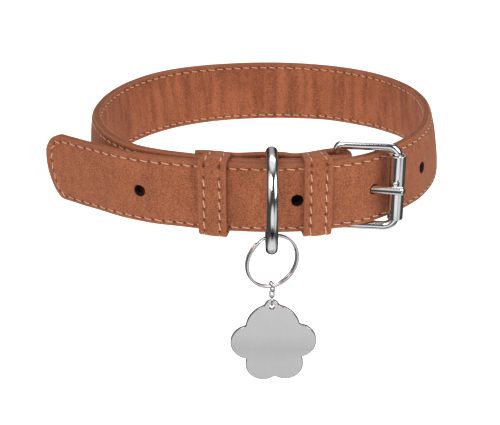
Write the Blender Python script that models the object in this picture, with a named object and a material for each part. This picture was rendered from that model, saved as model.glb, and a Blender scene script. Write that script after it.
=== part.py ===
"""A leather dog collar, fastened round an open neck space, with a roller buckle, a D-ring and a paw tag.

The origin is the middle of the neck space at half the strap's width. +Z is up, the buckle and the D-ring
are on the -Y side, and the strap's free tip points to -X. All lengths are in metres.
"""

import math

import bpy
from mathutils import Vector

MM = 0.001

# Strap: two layers of leather, stitched edge to edge
STRAP_WIDTH = 25 * MM
LEATHER = 1.5 * MM
LINING = 1.4 * MM
LAYER_GAP = 0.3 * MM
EDGE_ROUND = 0.45 * MM
FACE_CROWN = 0.9 * MM
LINING_CROWN = 0.2 * MM
STATION_STEP = 4.4 * MM

# Where the strap lies
NECK_RADIUS = 62 * MM
PASS_GAP = 0.4 * MM
TAIL_END = 246
HEEL_ANGLE = 294.4
TIP_END = 202.3
TIP_FLARE = 15.5 * MM
TIP_ROUND = 8 * MM
TIP_NOSE = 3.5 * MM

# Holes along the strap, HOLES as shares of HOLE_PITCH from the prong's hole toward the tip
HOLE_DIAMETER = 4.3 * MM
HOLE_PITCH = 28 * MM
HOLES = (-1.055, 1, 2, 3)
SLOT_HEIGHT = 4.4 * MM
SLOT_REACH = 9 * MM

# Keepers
KEEPER_WIDTH = 9.0 * MM
KEEPER_THICKNESS = 1.1 * MM
KEEPER_CORNER = 0.7 * MM
KEEPER_LEFT_ANGLE = 255.2
KEEPER_RIGHT_ANGLE = 285.35

# Clearance between pieces that touch on the real collar
CLEARANCE = 0.3 * MM

# D-ring
D_WIRE = 3.5 * MM
D_INNER_HEIGHT = 29.5 * MM
D_ARM = 8.2 * MM
D_BOW = 12.3 * MM
D_CORNER = 2.2 * MM
D_ANGLE = 272.55
D_TURN = -3.7

# Roller buckle
FRAME_WIRE = 3.2 * MM
FRAME_SIDE_GAP = 0.4 * MM
BAR_SPACING = 20.9 * MM
BUCKLE_TILT = 30.7
HEEL_CORNER = 2.0 * MM
ROLLER_CORNER = 4.0 * MM
ROLLER_DIAMETER = 5.5 * MM
ROLLER_LENGTH = 23.6 * MM
ROLLER_BORE_GAP = 0.4 * MM
PRONG_WIRE = 2.9 * MM
PRONG_HOLE_DISTANCE = 11.0 * MM
PRONG_HOLE_GAP = 0.3 * MM
PRONG_OVERHANG = 5.2 * MM
PRONG_LOOP_OPEN = 120
PRONG_DIP = 35
PRONG_BEND = 2.4 * MM
PRONG_LIFT = 3

# Split ring
RING_DIAMETER = 20.3 * MM
RING_RADIAL = 1.0 * MM
RING_DEPTH = 1.8 * MM
RING_REACH = 3.9 * MM
RING_YAW = 24
RING_REST = 0.2 * MM

# Links between the split ring and the tag
LINK_WIRE = 0.5 * MM
LINK_BORE = 3.2 * MM
EYE_LENGTH = 2.6 * MM
EYE_WIDTH = 1.0 * MM
LINK_REST = 0.12 * MM
LINK_DROP = 0.35 * MM

# Paw tag
TAG_THICKNESS = 1.5 * MM
TAG_EDGE = 0.25 * MM
TAG_HOLE = 2.0 * MM
TAG_LUG_RADIUS = 2.7 * MM
TAG_LUG_HEIGHT = 16.3 * MM
TAG_ROLL = 2.6
TAG_TOP_RADIUS = 9.9 * MM
TAG_TOP_HEIGHT = 7.2 * MM
TAG_SIDE_RADIUS = 6.8 * MM
TAG_SIDE_SPREAD = 8.85 * MM
TAG_SIDE_HEIGHT = 1.9 * MM
TAG_TOE_RADIUS = 6.5 * MM
TAG_TOE_SPREAD = 4.1 * MM
TAG_TOE_DROP = 7.4 * MM

STRAP_THICKNESS = LEATHER + LAYER_GAP + LINING
PASS_STEP = STRAP_THICKNESS + PASS_GAP

# The loop of the strap's first layer, read anticlockwise seen from above:
# angle in degrees, reach of its neck face as a share of NECK_RADIUS,
# lean of its lower edge outward as a share of STRAP_WIDTH
LOOP = (
    (0, 1.034, 0.165),
    (14, 1.038, 0.165),
    (27, 1.039, 0.160),
    (39, 1.019, 0.110),
    (50, 0.992, 0.070),
    (61, 0.965, 0.060),
    (75, 0.926, 0.000),
    (90, 0.902, -0.040),
    (104, 0.899, -0.055),
    (120, 0.918, -0.090),
    (135, 0.941, -0.110),
    (150, 0.956, -0.080),
    (165, 0.974, -0.030),
    (178, 0.995, 0.000),
    (191, 1.030, 0.030),
    (205, 1.054, 0.060),
    (214, 1.064, 0.060),
    (226, 1.060, 0.040),
    (235, 1.030, 0.020),
    (245, 0.993, 0.000),
    (256, 0.988, 0.000),
    (266, 0.989, 0.000),
    (276, 0.996, 0.000),
    (286, 1.007, 0.000),
    (294.4, 1.015, 0.005),
    (304, 1.030, 0.020),
    (313, 1.042, 0.045),
    (325, 1.046, 0.080),
    (334, 1.041, 0.100),
    (343, 1.035, 0.130),
    (352, 1.033, 0.155),
)

# How the strap leaves its own loop on the way to the tip, by the angle travelled clockwise past 0:
# angle, layers lifted, stand-off as a share of TIP_FLARE, extra lean as a share of STRAP_WIDTH
OVER = (
    (0, 0.00, 0.00, 0.00),
    (30, 0.00, 0.00, 0.00),
    (47, 0.25, 0.00, 0.00),
    (53, 0.54, 0.00, 0.00),
    (58, 0.80, 0.00, 0.00),
    (63, 0.96, 0.00, 0.00),
    (68, 1.00, 0.00, 0.00),
    (98, 1.00, 0.00, 0.00),
    (104, 1.00, 0.05, 0.00),
    (112, 1.00, 0.08, 0.00),
    (119, 1.00, 0.12, -0.01),
    (126, 1.00, 0.14, -0.03),
    (132, 1.00, 0.17, -0.06),
    (140, 1.00, 0.28, -0.08),
    (148, 1.00, 0.54, -0.09),
    (153, 1.00, 0.77, -0.09),
    (157.7, 1.00, 1.00, -0.09),
)


def smooth_rows(rows, angle, period=None):
    """The table's columns at this angle, on a smooth curve through its rows."""
    if period:
        last, first = rows[-1], rows[0]
        before = (last[0] - period,) + last[1:]
        after = (first[0] + period,) + first[1:]
        second_after = (rows[1][0] + period,) + rows[1][1:]
        rows = (before,) + tuple(rows) + (after, second_after)
        angle = angle % period
    index = 0
    while index < len(rows) - 2 and rows[index + 1][0] < angle:
        index += 1
    low, high = rows[index], rows[index + 1]
    below = rows[max(index - 1, 0)]
    above = rows[min(index + 2, len(rows) - 1)]
    span = high[0] - low[0]
    part = min(max((angle - low[0]) / span, 0.0), 1.0)
    values = []
    for column in range(1, len(low)):
        start_slope = (high[column] - below[column]) / (high[0] - below[0]) * span
        end_slope = (above[column] - low[column]) / (above[0] - low[0]) * span
        values.append(
            (2 * part**3 - 3 * part**2 + 1) * low[column]
            + (part**3 - 2 * part**2 + part) * start_slope
            + (3 * part**2 - 2 * part**3) * high[column]
            + (part**3 - part**2) * end_slope
        )
    return values


def polar(angle, reach):
    """The point at this angle in degrees and this distance from the origin, seen from above."""
    turn = math.radians(angle)
    return Vector((reach * math.cos(turn), reach * math.sin(turn)))


def loop_face(angle):
    """Reach of the first layer's neck face at this angle, at half the strap's width."""
    return smooth_rows(LOOP, angle, 360)[0] * NECK_RADIUS


def tail_gap(angle):
    """The room between the first layer and the folded tail: a keeper, the D-ring's bar or the heel bar."""
    keeper_room = KEEPER_THICKNESS + 2 * CLEARANCE
    d_room = D_WIRE + 2 * CLEARANCE
    heel_room = FRAME_WIRE + 2 * CLEARANCE
    d_spread = math.degrees(0.5 * D_WIRE / NECK_RADIUS) + 2
    rows = (
        (TAIL_END, keeper_room),
        (KEEPER_LEFT_ANGLE + 4.5, keeper_room),
        (D_ANGLE - d_spread, d_room),
        (D_ANGLE + d_spread, d_room),
        (HEEL_ANGLE - 3, heel_room),
        (HEEL_ANGLE, heel_room),
    )
    return smooth_rows(rows, angle)[0]


# Heel bar and roller bar, seen from above
HEEL_REACH = loop_face(HEEL_ANGLE) - CLEARANCE - FRAME_WIRE / 2
HEEL = polar(HEEL_ANGLE, HEEL_REACH)
BUCKLE_ALONG = polar(HEEL_ANGLE + 90 - BUCKLE_TILT, 1)
BUCKLE_OUT = polar(HEEL_ANGLE - BUCKLE_TILT, 1)
ROLLER_BAR = HEEL + BAR_SPACING * BUCKLE_ALONG


def strap_route():
    """The middle of the strap's thickness from the tail to the tip, as (point, lean) seen from above."""
    half = STRAP_THICKNESS / 2
    route = []
    steps = 30
    for step in range(steps):
        angle = TAIL_END + (HEEL_ANGLE - TAIL_END) * step / steps
        route.append((polar(angle, loop_face(angle) - tail_gap(angle) - half), 0.0))
    fold_radius = FRAME_WIRE / 2 + CLEARANCE + half
    fold_steps = 16
    for step in range(fold_steps + 1):
        turn = HEEL_ANGLE + 180 - 180 * step / fold_steps
        route.append((HEEL + polar(turn, fold_radius), 0.0))
    travel = 360 - HEEL_ANGLE
    end = 360 + 360 - TIP_END
    fine = 1.0
    position = travel - 360 + fine
    while position < end - 360:
        reach, lean = smooth_rows(LOOP, -position, 360)
        lifted, flare, extra_lean = smooth_rows(OVER, position) if position > 0 else (0, 0, 0)
        middle = reach * NECK_RADIUS + half + lifted * PASS_STEP + flare * TIP_FLARE
        route.append((polar(-position, middle), (lean + extra_lean) * STRAP_WIDTH))
        position += fine
    return route


class Path:
    """A route seen from above that can be read at any distance along it."""

    def __init__(self, route):
        self.points = [point for point, lean in route]
        self.leans = [lean for point, lean in route]
        self.distances = [0.0]
        for start, end in zip(self.points, self.points[1:]):
            self.distances.append(self.distances[-1] + (end - start).length)
        self.length = self.distances[-1]

    def at(self, distance):
        """(point, direction, outward side, lean) at this distance from the tail's end."""
        low, high = 0, len(self.distances) - 1
        while high - low > 1:
            middle = (low + high) // 2
            if self.distances[middle] <= distance:
                low = middle
            else:
                high = middle
        span = self.distances[low + 1] - self.distances[low]
        part = (distance - self.distances[low]) / span
        before, after = max(low - 1, 0), min(low + 2, len(self.points) - 1)
        start, end = self.points[low], self.points[low + 1]
        start_way = (end - self.points[before]).normalized()
        end_way = (self.points[after] - start).normalized()
        way = start_way.lerp(end_way, min(max(part, 0), 1)).normalized()
        point = start.lerp(end, part)
        lean = self.leans[low] * (1 - part) + self.leans[low + 1] * part
        return point, way, Vector((-way.y, way.x)), lean

    def nearest(self, target, start, end):
        """The distance along the path, between two given ones, that comes nearest to a point."""
        steps = 400
        places = [start + (end - start) * step / steps for step in range(steps + 1)]
        return min(places, key=lambda place: (self.at(place)[0] - target).length)


STRAP = Path(strap_route())
FOLD_START = STRAP.nearest(HEEL - polar(HEEL_ANGLE, FRAME_WIRE), 0, STRAP.length * 0.2)
FOLD_END = FOLD_START + math.pi * (FRAME_WIRE / 2 + CLEARANCE + STRAP_THICKNESS / 2)
SECOND_PASS = STRAP.length * 0.62
FREE_START = STRAP.nearest(polar(240, NECK_RADIUS), FOLD_END, STRAP.length / 2)
FREE_END = STRAP.nearest(polar(318, NECK_RADIUS), STRAP.length / 2, STRAP.length * 0.9)
FREE_RAMP = STRAP_WIDTH
PRONG_HOLE = STRAP.nearest(HEEL + PRONG_HOLE_DISTANCE * BUCKLE_ALONG, SECOND_PASS, STRAP.length * 0.9)


def strap_stations():
    """Distances along the strap, closer together round the fold and at the tip."""
    places = []
    place = 0.0
    last = STRAP.length - TIP_ROUND
    while place < last:
        places.append(place)
        here = STRAP.at(place)[1]
        ahead = STRAP.at(min(place + STATION_STEP / 2, STRAP.length))[1]
        bend = max(here.angle(ahead), 1e-6)
        fit = math.radians(14) / bend * STATION_STEP / 2
        place += min(STATION_STEP, max(fit, STATION_STEP / 5))
    for share in (1.0, 0.78, 0.58, 0.4, 0.25, 0.13, 0.05, 0.008):
        places.append(STRAP.length - share * TIP_ROUND)
    return places


def strap_edges(place):
    """Heights of the strap's lower and upper edge at this distance, drawn in at the rounded tip."""
    half = STRAP_WIDTH / 2
    into = 1 - min((STRAP.length - place) / TIP_ROUND, 1)
    upper = TIP_NOSE + (half - TIP_NOSE) * (1 - into**2.0) ** (1 / 2.0)
    lower = TIP_NOSE - (half + TIP_NOSE) * (1 - into**1.8) ** (1 / 1.6)
    return lower, upper


def strap_point(place, out, height):
    """A point of the strap: distance along it, distance out from its mid thickness, height."""
    point, way, side, lean = STRAP.at(place)
    shifted = point + (out - lean * height / STRAP_WIDTH) * side
    return Vector((shifted.x, shifted.y, height))


def free_share(place):
    """How far the strap is free of its own layers here, from 0 where it is held flat to 1 round the neck."""
    rise = min(max((place - FREE_START) / FREE_RAMP, 0), 1)
    fall = min(max((FREE_END - place) / FREE_RAMP, 0), 1)
    return min(rise, fall)


def strap_layer(inner, outer, face_crown):
    """Sections of one leather layer between two distances from the strap's mid thickness."""
    sections = []
    for place in strap_stations():
        lower, upper = strap_edges(place)
        crown = face_crown * free_share(place)
        round_off = min(EDGE_ROUND, (upper - lower) * 0.2)
        middle = (lower + upper) / 2
        face_in, face_out = (inner, outer) if face_crown > 0 else (outer, inner)
        step = round_off if face_crown > 0 else -round_off
        quarter = (upper - lower) / 4
        corners = (
            (face_in, lower),
            (face_out - step, lower),
            (face_out, lower + round_off),
            (face_out + 0.75 * crown, middle - quarter),
            (face_out + crown, middle),
            (face_out + 0.75 * crown, middle + quarter),
            (face_out, upper - round_off),
            (face_out - step, upper),
            (face_in, upper),
        )
        ring = [strap_point(place, out, height) for out, height in corners]
        sections.append(ring if face_crown > 0 else ring[::-1])
    return sections


def loft(sections, closed=False):
    """Vertices and faces that join sections of equal size, capped unless the row of sections closes."""
    count = len(sections[0])
    vertices = [point for section in sections for point in section]
    faces = []
    pairs = len(sections) if closed else len(sections) - 1
    for row in range(pairs):
        first, second = row * count, (row + 1) % len(sections) * count
        for column in range(count):
            beside = (column + 1) % count
            faces.append((first + column, first + beside, second + beside, second + column))
    if not closed:
        faces.append(tuple(reversed(range(count))))
        faces.append(tuple(range((len(sections) - 1) * count, len(sections) * count)))
    return vertices, faces


def material(name, colour, roughness, metallic):
    made = bpy.data.materials.new(name)
    made.use_nodes = True
    shader = made.node_tree.nodes["Principled BSDF"]
    shader.inputs["Base Color"].default_value = (*colour, 1)
    shader.inputs["Roughness"].default_value = roughness
    shader.inputs["Metallic"].default_value = metallic
    made.diffuse_color = (*colour, 1)
    return made


def add_solid(name, shape, finish, origin=(0, 0, 0), smooth_angle=40):
    """An object of the given vertices and faces, turned outward, with its origin where it is given."""
    vertices, faces = shape
    base = Vector(origin)
    mesh = bpy.data.meshes.new(name)
    mesh.from_pydata([point - base for point in vertices], [], faces)
    mesh.update()
    mesh.calc_loop_triangles()
    volume = sum(
        mesh.vertices[a].co.dot(mesh.vertices[b].co.cross(mesh.vertices[c].co))
        for a, b, c in (triangle.vertices for triangle in mesh.loop_triangles)
    )
    if volume < 0:
        mesh.flip_normals()
    mesh.shade_smooth()
    mesh.set_sharp_from_angle(angle=math.radians(smooth_angle))
    mesh.materials.append(finish)
    solid = bpy.data.objects.new(name, mesh)
    solid.location = base
    bpy.context.collection.objects.link(solid)
    return solid


def planar_tube(points, radius, sides, base, across, up, closed):
    """A round wire along (across, up) points in one plane; radius is one value or one for each point."""
    normal = across.cross(up)
    count = len(points)
    radii = radius if isinstance(radius, list) else [radius] * count
    sections = []
    for index, point in enumerate(points):
        before = points[index - 1] if closed or index else point
        after = points[(index + 1) % count] if closed or index < count - 1 else point
        way = Vector((after[0] - before[0], after[1] - before[1])).normalized()
        side = -way.y * across + way.x * up
        middle = base + point[0] * across + point[1] * up
        ring = []
        for step in range(sides):
            turn = 2 * math.pi * (step + 0.5) / sides
            ring.append(middle + radii[index] * (math.cos(turn) * side + math.sin(turn) * normal))
        sections.append(ring)
    return loft(sections, closed)


def arc(centre, radius, start, end, steps):
    """Points on an arc, both ends included, angles in degrees."""
    points = []
    for step in range(steps + 1):
        turn = math.radians(start + (end - start) * step / steps)
        points.append((centre[0] + radius * math.cos(turn), centre[1] + radius * math.sin(turn)))
    return points


def flat_vector(point, height=0.0):
    return Vector((point.x, point.y, height))


def cylinder_cutter(name, middle, way, diameter, length):
    """A round cutter, left out of the render, that runs along a level direction."""
    side = Vector((-way.y, way.x, 0))
    upward = Vector((0, 0, 1))
    sections = []
    for end in (-length / 2, length / 2):
        ring = []
        for step in range(16):
            turn = 2 * math.pi * step / 16
            ring.append(middle + end * way + diameter / 2 * (math.cos(turn) * side + math.sin(turn) * upward))
        sections.append(ring)
    return hide_cutter(add_solid(name, loft(sections), LEATHER_FINISH))


def box_cutter(name, middle, along, out, length, depth, height):
    """A square cutter, left out of the render, on level axes along and out."""
    sections = []
    for end in (-length / 2, length / 2):
        ring = []
        for out_sign, up_sign in ((-1, -1), (1, -1), (1, 1), (-1, 1)):
            point = middle + end * along + out_sign * depth / 2 * out
            ring.append(point + Vector((0, 0, up_sign * height / 2)))
        sections.append(ring)
    return hide_cutter(add_solid(name, loft(sections), LEATHER_FINISH))


def hide_cutter(cutter):
    cutter.hide_render = True
    cutter.display_type = "WIRE"
    return cutter


def cut(solid, cutters):
    for cutter in cutters:
        boolean = solid.modifiers.new(cutter.name, "BOOLEAN")
        boolean.operation = "DIFFERENCE"
        boolean.solver = "EXACT"
        boolean.object = cutter


for old in list(bpy.data.objects):
    bpy.data.objects.remove(old, do_unlink=True)

LEATHER_FINISH = material("cognac_leather", (0.40, 0.135, 0.060), 0.7, 0)
LINING_FINISH = material("lining_leather", (0.34, 0.105, 0.045), 0.75, 0)
CHROME_FINISH = material("chrome", (0.78, 0.78, 0.79), 0.12, 1)
STEEL_FINISH = material("brushed_steel", (0.58, 0.58, 0.58), 0.35, 1)

# Strap
HALF = STRAP_THICKNESS / 2
leather_shape = loft(strap_layer(HALF - LEATHER, HALF, FACE_CROWN))
lining_shape = loft(strap_layer(-HALF, LINING - HALF, -LINING_CROWN))
strap_leather = add_solid("strap_leather", leather_shape, LEATHER_FINISH)
strap_lining = add_solid("strap_lining", lining_shape, LINING_FINISH)

# Prong, seen from above as (along the buckle, out from the plane of its bars)
PRONG_RADIUS = PRONG_WIRE / 2
PRONG_LOOP = FRAME_WIRE / 2 + CLEARANCE + PRONG_RADIUS


def in_buckle(point):
    """A point seen from above, as its distances along the buckle and out from its bars' plane."""
    offset = point - HEEL
    return Vector((offset.dot(BUCKLE_ALONG), offset.dot(BUCKLE_OUT)))


hole_point, hole_way, hole_side, hole_lean = STRAP.at(PRONG_HOLE)
hole_in_buckle = in_buckle(hole_point)
to_roller = Vector((BAR_SPACING, 0)) - hole_in_buckle
over_roller = ROLLER_DIAMETER / 2 + CLEARANCE + PRONG_RADIUS
rise_angle = math.atan2(to_roller.y, to_roller.x) + math.asin(over_roller / to_roller.length)
prong_rise = Vector((math.cos(rise_angle), math.sin(rise_angle)))
prong_reach = math.sqrt(to_roller.length**2 - over_roller**2) + PRONG_OVERHANG
prong_end = hole_in_buckle + prong_reach * prong_rise
dip_angle = math.radians(-PRONG_DIP)
prong_dip = Vector((math.cos(dip_angle), math.sin(dip_angle)))
dip_start = PRONG_LOOP * Vector((-prong_dip.y, prong_dip.x))
to_hole = hole_in_buckle - dip_start
corner_reach = (to_hole.x * prong_rise.y - to_hole.y * prong_rise.x) / (
    prong_dip.x * prong_rise.y - prong_dip.y * prong_rise.x
)
prong_corner = dip_start + corner_reach * prong_dip
bend_back = PRONG_BEND * math.tan((rise_angle - dip_angle) / 2)
bend_middle = prong_corner - bend_back * prong_dip + PRONG_BEND * Vector((-prong_dip.y, prong_dip.x))
prong_points = arc((0, 0), PRONG_LOOP, 90 - PRONG_DIP + 360 - PRONG_LOOP_OPEN, 90 - PRONG_DIP, 12)
prong_points += arc(bend_middle, PRONG_BEND, -90 - PRONG_DIP, -90 + math.degrees(rise_angle), 6)
for short in (0.45, 0.12, 0.0):
    point = prong_end - short * PRONG_RADIUS * prong_rise
    prong_points.append((point.x, point.y))
prong_radii = [PRONG_RADIUS] * (len(prong_points) - 2) + [PRONG_RADIUS * 0.86, PRONG_RADIUS * 0.5]
lift = math.radians(PRONG_LIFT)
prong_across = math.cos(lift) * flat_vector(BUCKLE_ALONG) + math.sin(lift) * Vector((0, 0, 1))
prong_shape = planar_tube(
    prong_points, prong_radii, 10, flat_vector(HEEL), prong_across, flat_vector(BUCKLE_OUT), False
)
add_solid("buckle_prong", prong_shape, CHROME_FINISH, flat_vector(HEEL))

# Holes and slot
prong_hole_middle = flat_vector(HEEL) + hole_in_buckle.x * prong_across + hole_in_buckle.y * flat_vector(BUCKLE_OUT)
prong_way = prong_rise.x * prong_across + prong_rise.y * flat_vector(BUCKLE_OUT)
prong_bore = PRONG_WIRE + 2 * PRONG_HOLE_GAP
hole_cutters = [
    cylinder_cutter("cut_prong_hole", prong_hole_middle, prong_way, prong_bore, 2 * STRAP_THICKNESS)
]
for number, share in enumerate(HOLES):
    middle, way, side, lean = STRAP.at(PRONG_HOLE + share * HOLE_PITCH)
    name = "cut_hole_%d" % (number + 1)
    length = STRAP_THICKNESS + PASS_GAP
    hole_cutters.append(cylinder_cutter(name, flat_vector(middle), flat_vector(side), HOLE_DIAMETER, length))
fold_outer = FRAME_WIRE / 2 + CLEARANCE + STRAP_THICKNESS
slot_depth = 2 * fold_outer + 1.5 * PASS_GAP
slot_length = SLOT_REACH + fold_outer + PASS_GAP / 2
heel_out, heel_along = polar(HEEL_ANGLE, 1), polar(HEEL_ANGLE + 90, 1)
slot_middle = HEEL + (slot_length / 2 - SLOT_REACH) * heel_along - PASS_GAP / 4 * heel_out
hole_cutters.append(
    box_cutter(
        "cut_prong_slot",
        flat_vector(slot_middle),
        flat_vector(heel_along),
        flat_vector(heel_out),
        slot_length,
        slot_depth,
        SLOT_HEIGHT,
    )
)
cut(strap_leather, hole_cutters)
cut(strap_lining, hole_cutters)


def add_keeper(name, angle):
    """A leather loop round the strap's two passes, following their curve."""
    target = polar(angle, loop_face(angle) + HALF)
    middle = STRAP.nearest(target, FOLD_END, SECOND_PASS)
    travel = 360 - angle
    spare = max(smooth_rows(OVER, travel)[1], smooth_rows(OVER, travel + 4)[1]) * TIP_FLARE
    inner_back = -HALF - CLEARANCE
    inner_front = HALF + PASS_STEP + spare + CLEARANCE
    inner_half = STRAP_WIDTH / 2 + CLEARANCE
    stations = [(-0.5 + step / 4) * KEEPER_WIDTH for step in range(5)]
    sections = []
    corners = (
        (inner_front - KEEPER_CORNER, inner_half - KEEPER_CORNER, 0),
        (inner_back + KEEPER_CORNER, inner_half - KEEPER_CORNER, 90),
        (inner_back + KEEPER_CORNER, KEEPER_CORNER - inner_half, 180),
        (inner_front - KEEPER_CORNER, KEEPER_CORNER - inner_half, 270),
    )
    for out, height, start in corners:
        for step in range(4):
            turn = math.radians(start + 30 * step)
            ring = []
            for radius, order in ((KEEPER_CORNER, stations), (KEEPER_CORNER + KEEPER_THICKNESS, stations[::-1])):
                for shift in order:
                    place = out + radius * math.cos(turn)
                    ring.append(strap_point(middle + shift, place, height + radius * math.sin(turn)))
            sections.append(ring)
    return add_solid(name, loft(sections, closed=True), LEATHER_FINISH)


add_keeper("keeper_left", KEEPER_LEFT_ANGLE)
add_keeper("keeper_right", KEEPER_RIGHT_ANGLE)

# D-ring, in an upright plane through its bar
UP = Vector((0, 0, 1))
D_RADIUS = (D_INNER_HEIGHT + D_WIRE) / 2
D_TOP = STRAP_WIDTH / 2 + CLEARANCE + D_WIRE / 2
D_BAR = polar(D_ANGLE, loop_face(D_ANGLE) - CLEARANCE - D_WIRE / 2)
D_OUT = polar(D_ANGLE + D_TURN, 1)
d_points = arc((D_CORNER, D_CORNER - D_RADIUS), D_CORNER, 180, 270, 4)
for step in range(17):
    turn = math.radians(-90 + 180 * step / 16)
    d_points.append((D_ARM + D_BOW * math.cos(turn), D_RADIUS * math.sin(turn)))
d_points += arc((D_CORNER, D_RADIUS - D_CORNER), D_CORNER, 90, 180, 4)
add_solid(
    "d_ring",
    planar_tube(d_points, D_WIRE / 2, 12, flat_vector(D_BAR, D_TOP - D_RADIUS), flat_vector(D_OUT), UP, True),
    CHROME_FINISH,
    flat_vector(D_BAR, D_TOP - D_RADIUS),
)

# Buckle frame, in an upright plane through its two bars
FRAME_HALF = STRAP_WIDTH / 2 + FRAME_SIDE_GAP + FRAME_WIRE / 2
frame_points = arc((HEEL_CORNER, HEEL_CORNER - FRAME_HALF), HEEL_CORNER, 180, 270, 4)
frame_points += arc((BAR_SPACING - ROLLER_CORNER, ROLLER_CORNER - FRAME_HALF), ROLLER_CORNER, 270, 360, 6)
frame_points += arc((BAR_SPACING - ROLLER_CORNER, FRAME_HALF - ROLLER_CORNER), ROLLER_CORNER, 0, 90, 6)
frame_points += arc((HEEL_CORNER, FRAME_HALF - HEEL_CORNER), HEEL_CORNER, 90, 180, 4)
add_solid(
    "buckle_frame",
    planar_tube(frame_points, FRAME_WIRE / 2, 12, flat_vector(HEEL), flat_vector(BUCKLE_ALONG), UP, True),
    CHROME_FINISH,
    flat_vector(HEEL),
)

# Roller: a tube that turns on the frame's outer bar
roller_sections = []
for radius, height in (
    (FRAME_WIRE / 2 + ROLLER_BORE_GAP, -ROLLER_LENGTH / 2),
    (ROLLER_DIAMETER / 2, -ROLLER_LENGTH / 2),
    (ROLLER_DIAMETER / 2, ROLLER_LENGTH / 2),
    (FRAME_WIRE / 2 + ROLLER_BORE_GAP, ROLLER_LENGTH / 2),
):
    ring = [flat_vector(ROLLER_BAR + polar(360 * step / 20, radius), height) for step in range(20)]
    roller_sections.append(ring)
add_solid("buckle_roller", loft(roller_sections, closed=True), CHROME_FINISH, flat_vector(ROLLER_BAR))

# Split ring, hanging on the D-ring's lower arm
RING_RADIUS = (RING_DIAMETER - RING_RADIAL) / 2
ARM_HEIGHT = D_TOP - 2 * D_RADIUS
ARM_POINT = D_BAR + RING_REACH * D_OUT
RING_BORE = RING_DIAMETER / 2 - RING_RADIAL
RING_HEIGHT = ARM_HEIGHT + D_WIRE / 2 + RING_REST - RING_BORE
RING_CENTRE = flat_vector(ARM_POINT, RING_HEIGHT)


def level(yaw):
    """The level direction at this yaw, 0 along +X."""
    return flat_vector(polar(yaw, 1))


ring_across, ring_axis = level(RING_YAW), level(RING_YAW - 90)
ring_sections = []
for step in range(32):
    turn = 2 * math.pi * step / 32
    spoke = math.cos(turn) * ring_across + math.sin(turn) * UP
    ring_sections.append(
        [
            RING_CENTRE + (RING_RADIUS + side * RING_RADIAL / 2) * spoke + depth * RING_DEPTH / 2 * ring_axis
            for side, depth in ((-1, -1), (1, -1), (1, 1), (-1, 1))
        ]
    )
add_solid("tag_ring", loft(ring_sections, closed=True), STEEL_FINISH, RING_CENTRE)


def add_link(name, centre, across, inner_width, inner_length):
    """A small closed link in an upright plane; round when its two inner sizes are equal."""
    radius = (inner_width + LINK_WIRE) / 2
    straight = (inner_length - inner_width) / 2
    points = arc((0, straight), radius, 0, 180, 6) + arc((0, -straight), radius, 180, 360, 6)
    if straight == 0:
        points = arc((0, 0), radius, 0, 360, 14)[:-1]
    shape = planar_tube(points, LINK_WIRE / 2, 6, centre, across, UP, True)
    return add_solid(name, shape, STEEL_FINISH, centre)


# Links: the upper one round the split ring, the middle one face on, the lower one through the tag
hang = flat_vector(ARM_POINT)
ring_low = RING_HEIGHT - RING_RADIUS
upper_height = ring_low - LINK_DROP
eye_top = upper_height - LINK_BORE / 2 + LINK_REST + LINK_WIRE
eye_height = eye_top - LINK_WIRE - EYE_LENGTH / 2
lower_top = eye_height - EYE_LENGTH / 2 + LINK_REST + LINK_WIRE
lower_height = lower_top - LINK_WIRE - LINK_BORE / 2
add_link("tag_link_upper", hang + upper_height * UP, ring_axis, LINK_BORE, LINK_BORE)
add_link("tag_link_middle", hang + eye_height * UP, level(RING_YAW / 2), EYE_WIDTH, EYE_LENGTH)
add_link("tag_link_lower", hang + lower_height * UP, level(-90), LINK_BORE, LINK_BORE)

# Paw tag: five round lobes and a small lug, hung by the hole in the lug
bridge_room = math.sqrt((LINK_BORE / 2) ** 2 - (TAG_THICKNESS / 2) ** 2)
HOLE_TOP = lower_height - bridge_room + LINK_REST
HOLE_CENTRE = hang + (HOLE_TOP - TAG_HOLE / 2) * UP
LOBES = (
    ((0, TAG_LUG_HEIGHT), TAG_LUG_RADIUS),
    ((0, TAG_TOP_HEIGHT), TAG_TOP_RADIUS),
    ((-TAG_SIDE_SPREAD, TAG_SIDE_HEIGHT), TAG_SIDE_RADIUS),
    ((-TAG_TOE_SPREAD, -TAG_TOE_DROP), TAG_TOE_RADIUS),
    ((TAG_TOE_SPREAD, -TAG_TOE_DROP), TAG_TOE_RADIUS),
    ((TAG_SIDE_SPREAD, TAG_SIDE_HEIGHT), TAG_SIDE_RADIUS),
    ((0, TAG_TOP_HEIGHT), TAG_TOP_RADIUS),
)


def outer_crossing(first, second):
    """The crossing of two circles on the outer side of the line from the first to the next anticlockwise."""
    (first_middle, first_radius), (second_middle, second_radius) = first, second
    start, end = Vector(first_middle), Vector(second_middle)
    apart = (end - start).length
    along = (apart**2 + first_radius**2 - second_radius**2) / (2 * apart)
    aside = math.sqrt(max(first_radius**2 - along**2, 0))
    way = (end - start).normalized()
    return start + along * way + aside * Vector((way.y, -way.x))


def lobed_outline(lobes):
    """The outline round the lobes, anticlockwise, each an arc between its crossings."""
    outline = []
    for index, (middle, radius) in enumerate(lobes):
        entry = outer_crossing(lobes[index - 1], lobes[index]) - Vector(middle)
        leave = outer_crossing(lobes[index], lobes[(index + 1) % len(lobes)]) - Vector(middle)
        start = math.degrees(math.atan2(entry.y, entry.x))
        sweep = (math.degrees(math.atan2(leave.y, leave.x)) - start) % 360
        steps = max(3, round(math.radians(sweep) * radius / (1.3 * MM)))
        outline += arc(middle, radius, start, start + sweep, steps)[:-1]
    return outline


def inset(outline, amount):
    """The outline moved inward by this amount."""
    moved = []
    for index, point in enumerate(outline):
        before, after = Vector(outline[index - 1]), Vector(outline[(index + 1) % len(outline)])
        way = (after - before).normalized()
        moved.append((point[0] - amount * way.y, point[1] + amount * way.x))
    return moved


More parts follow.
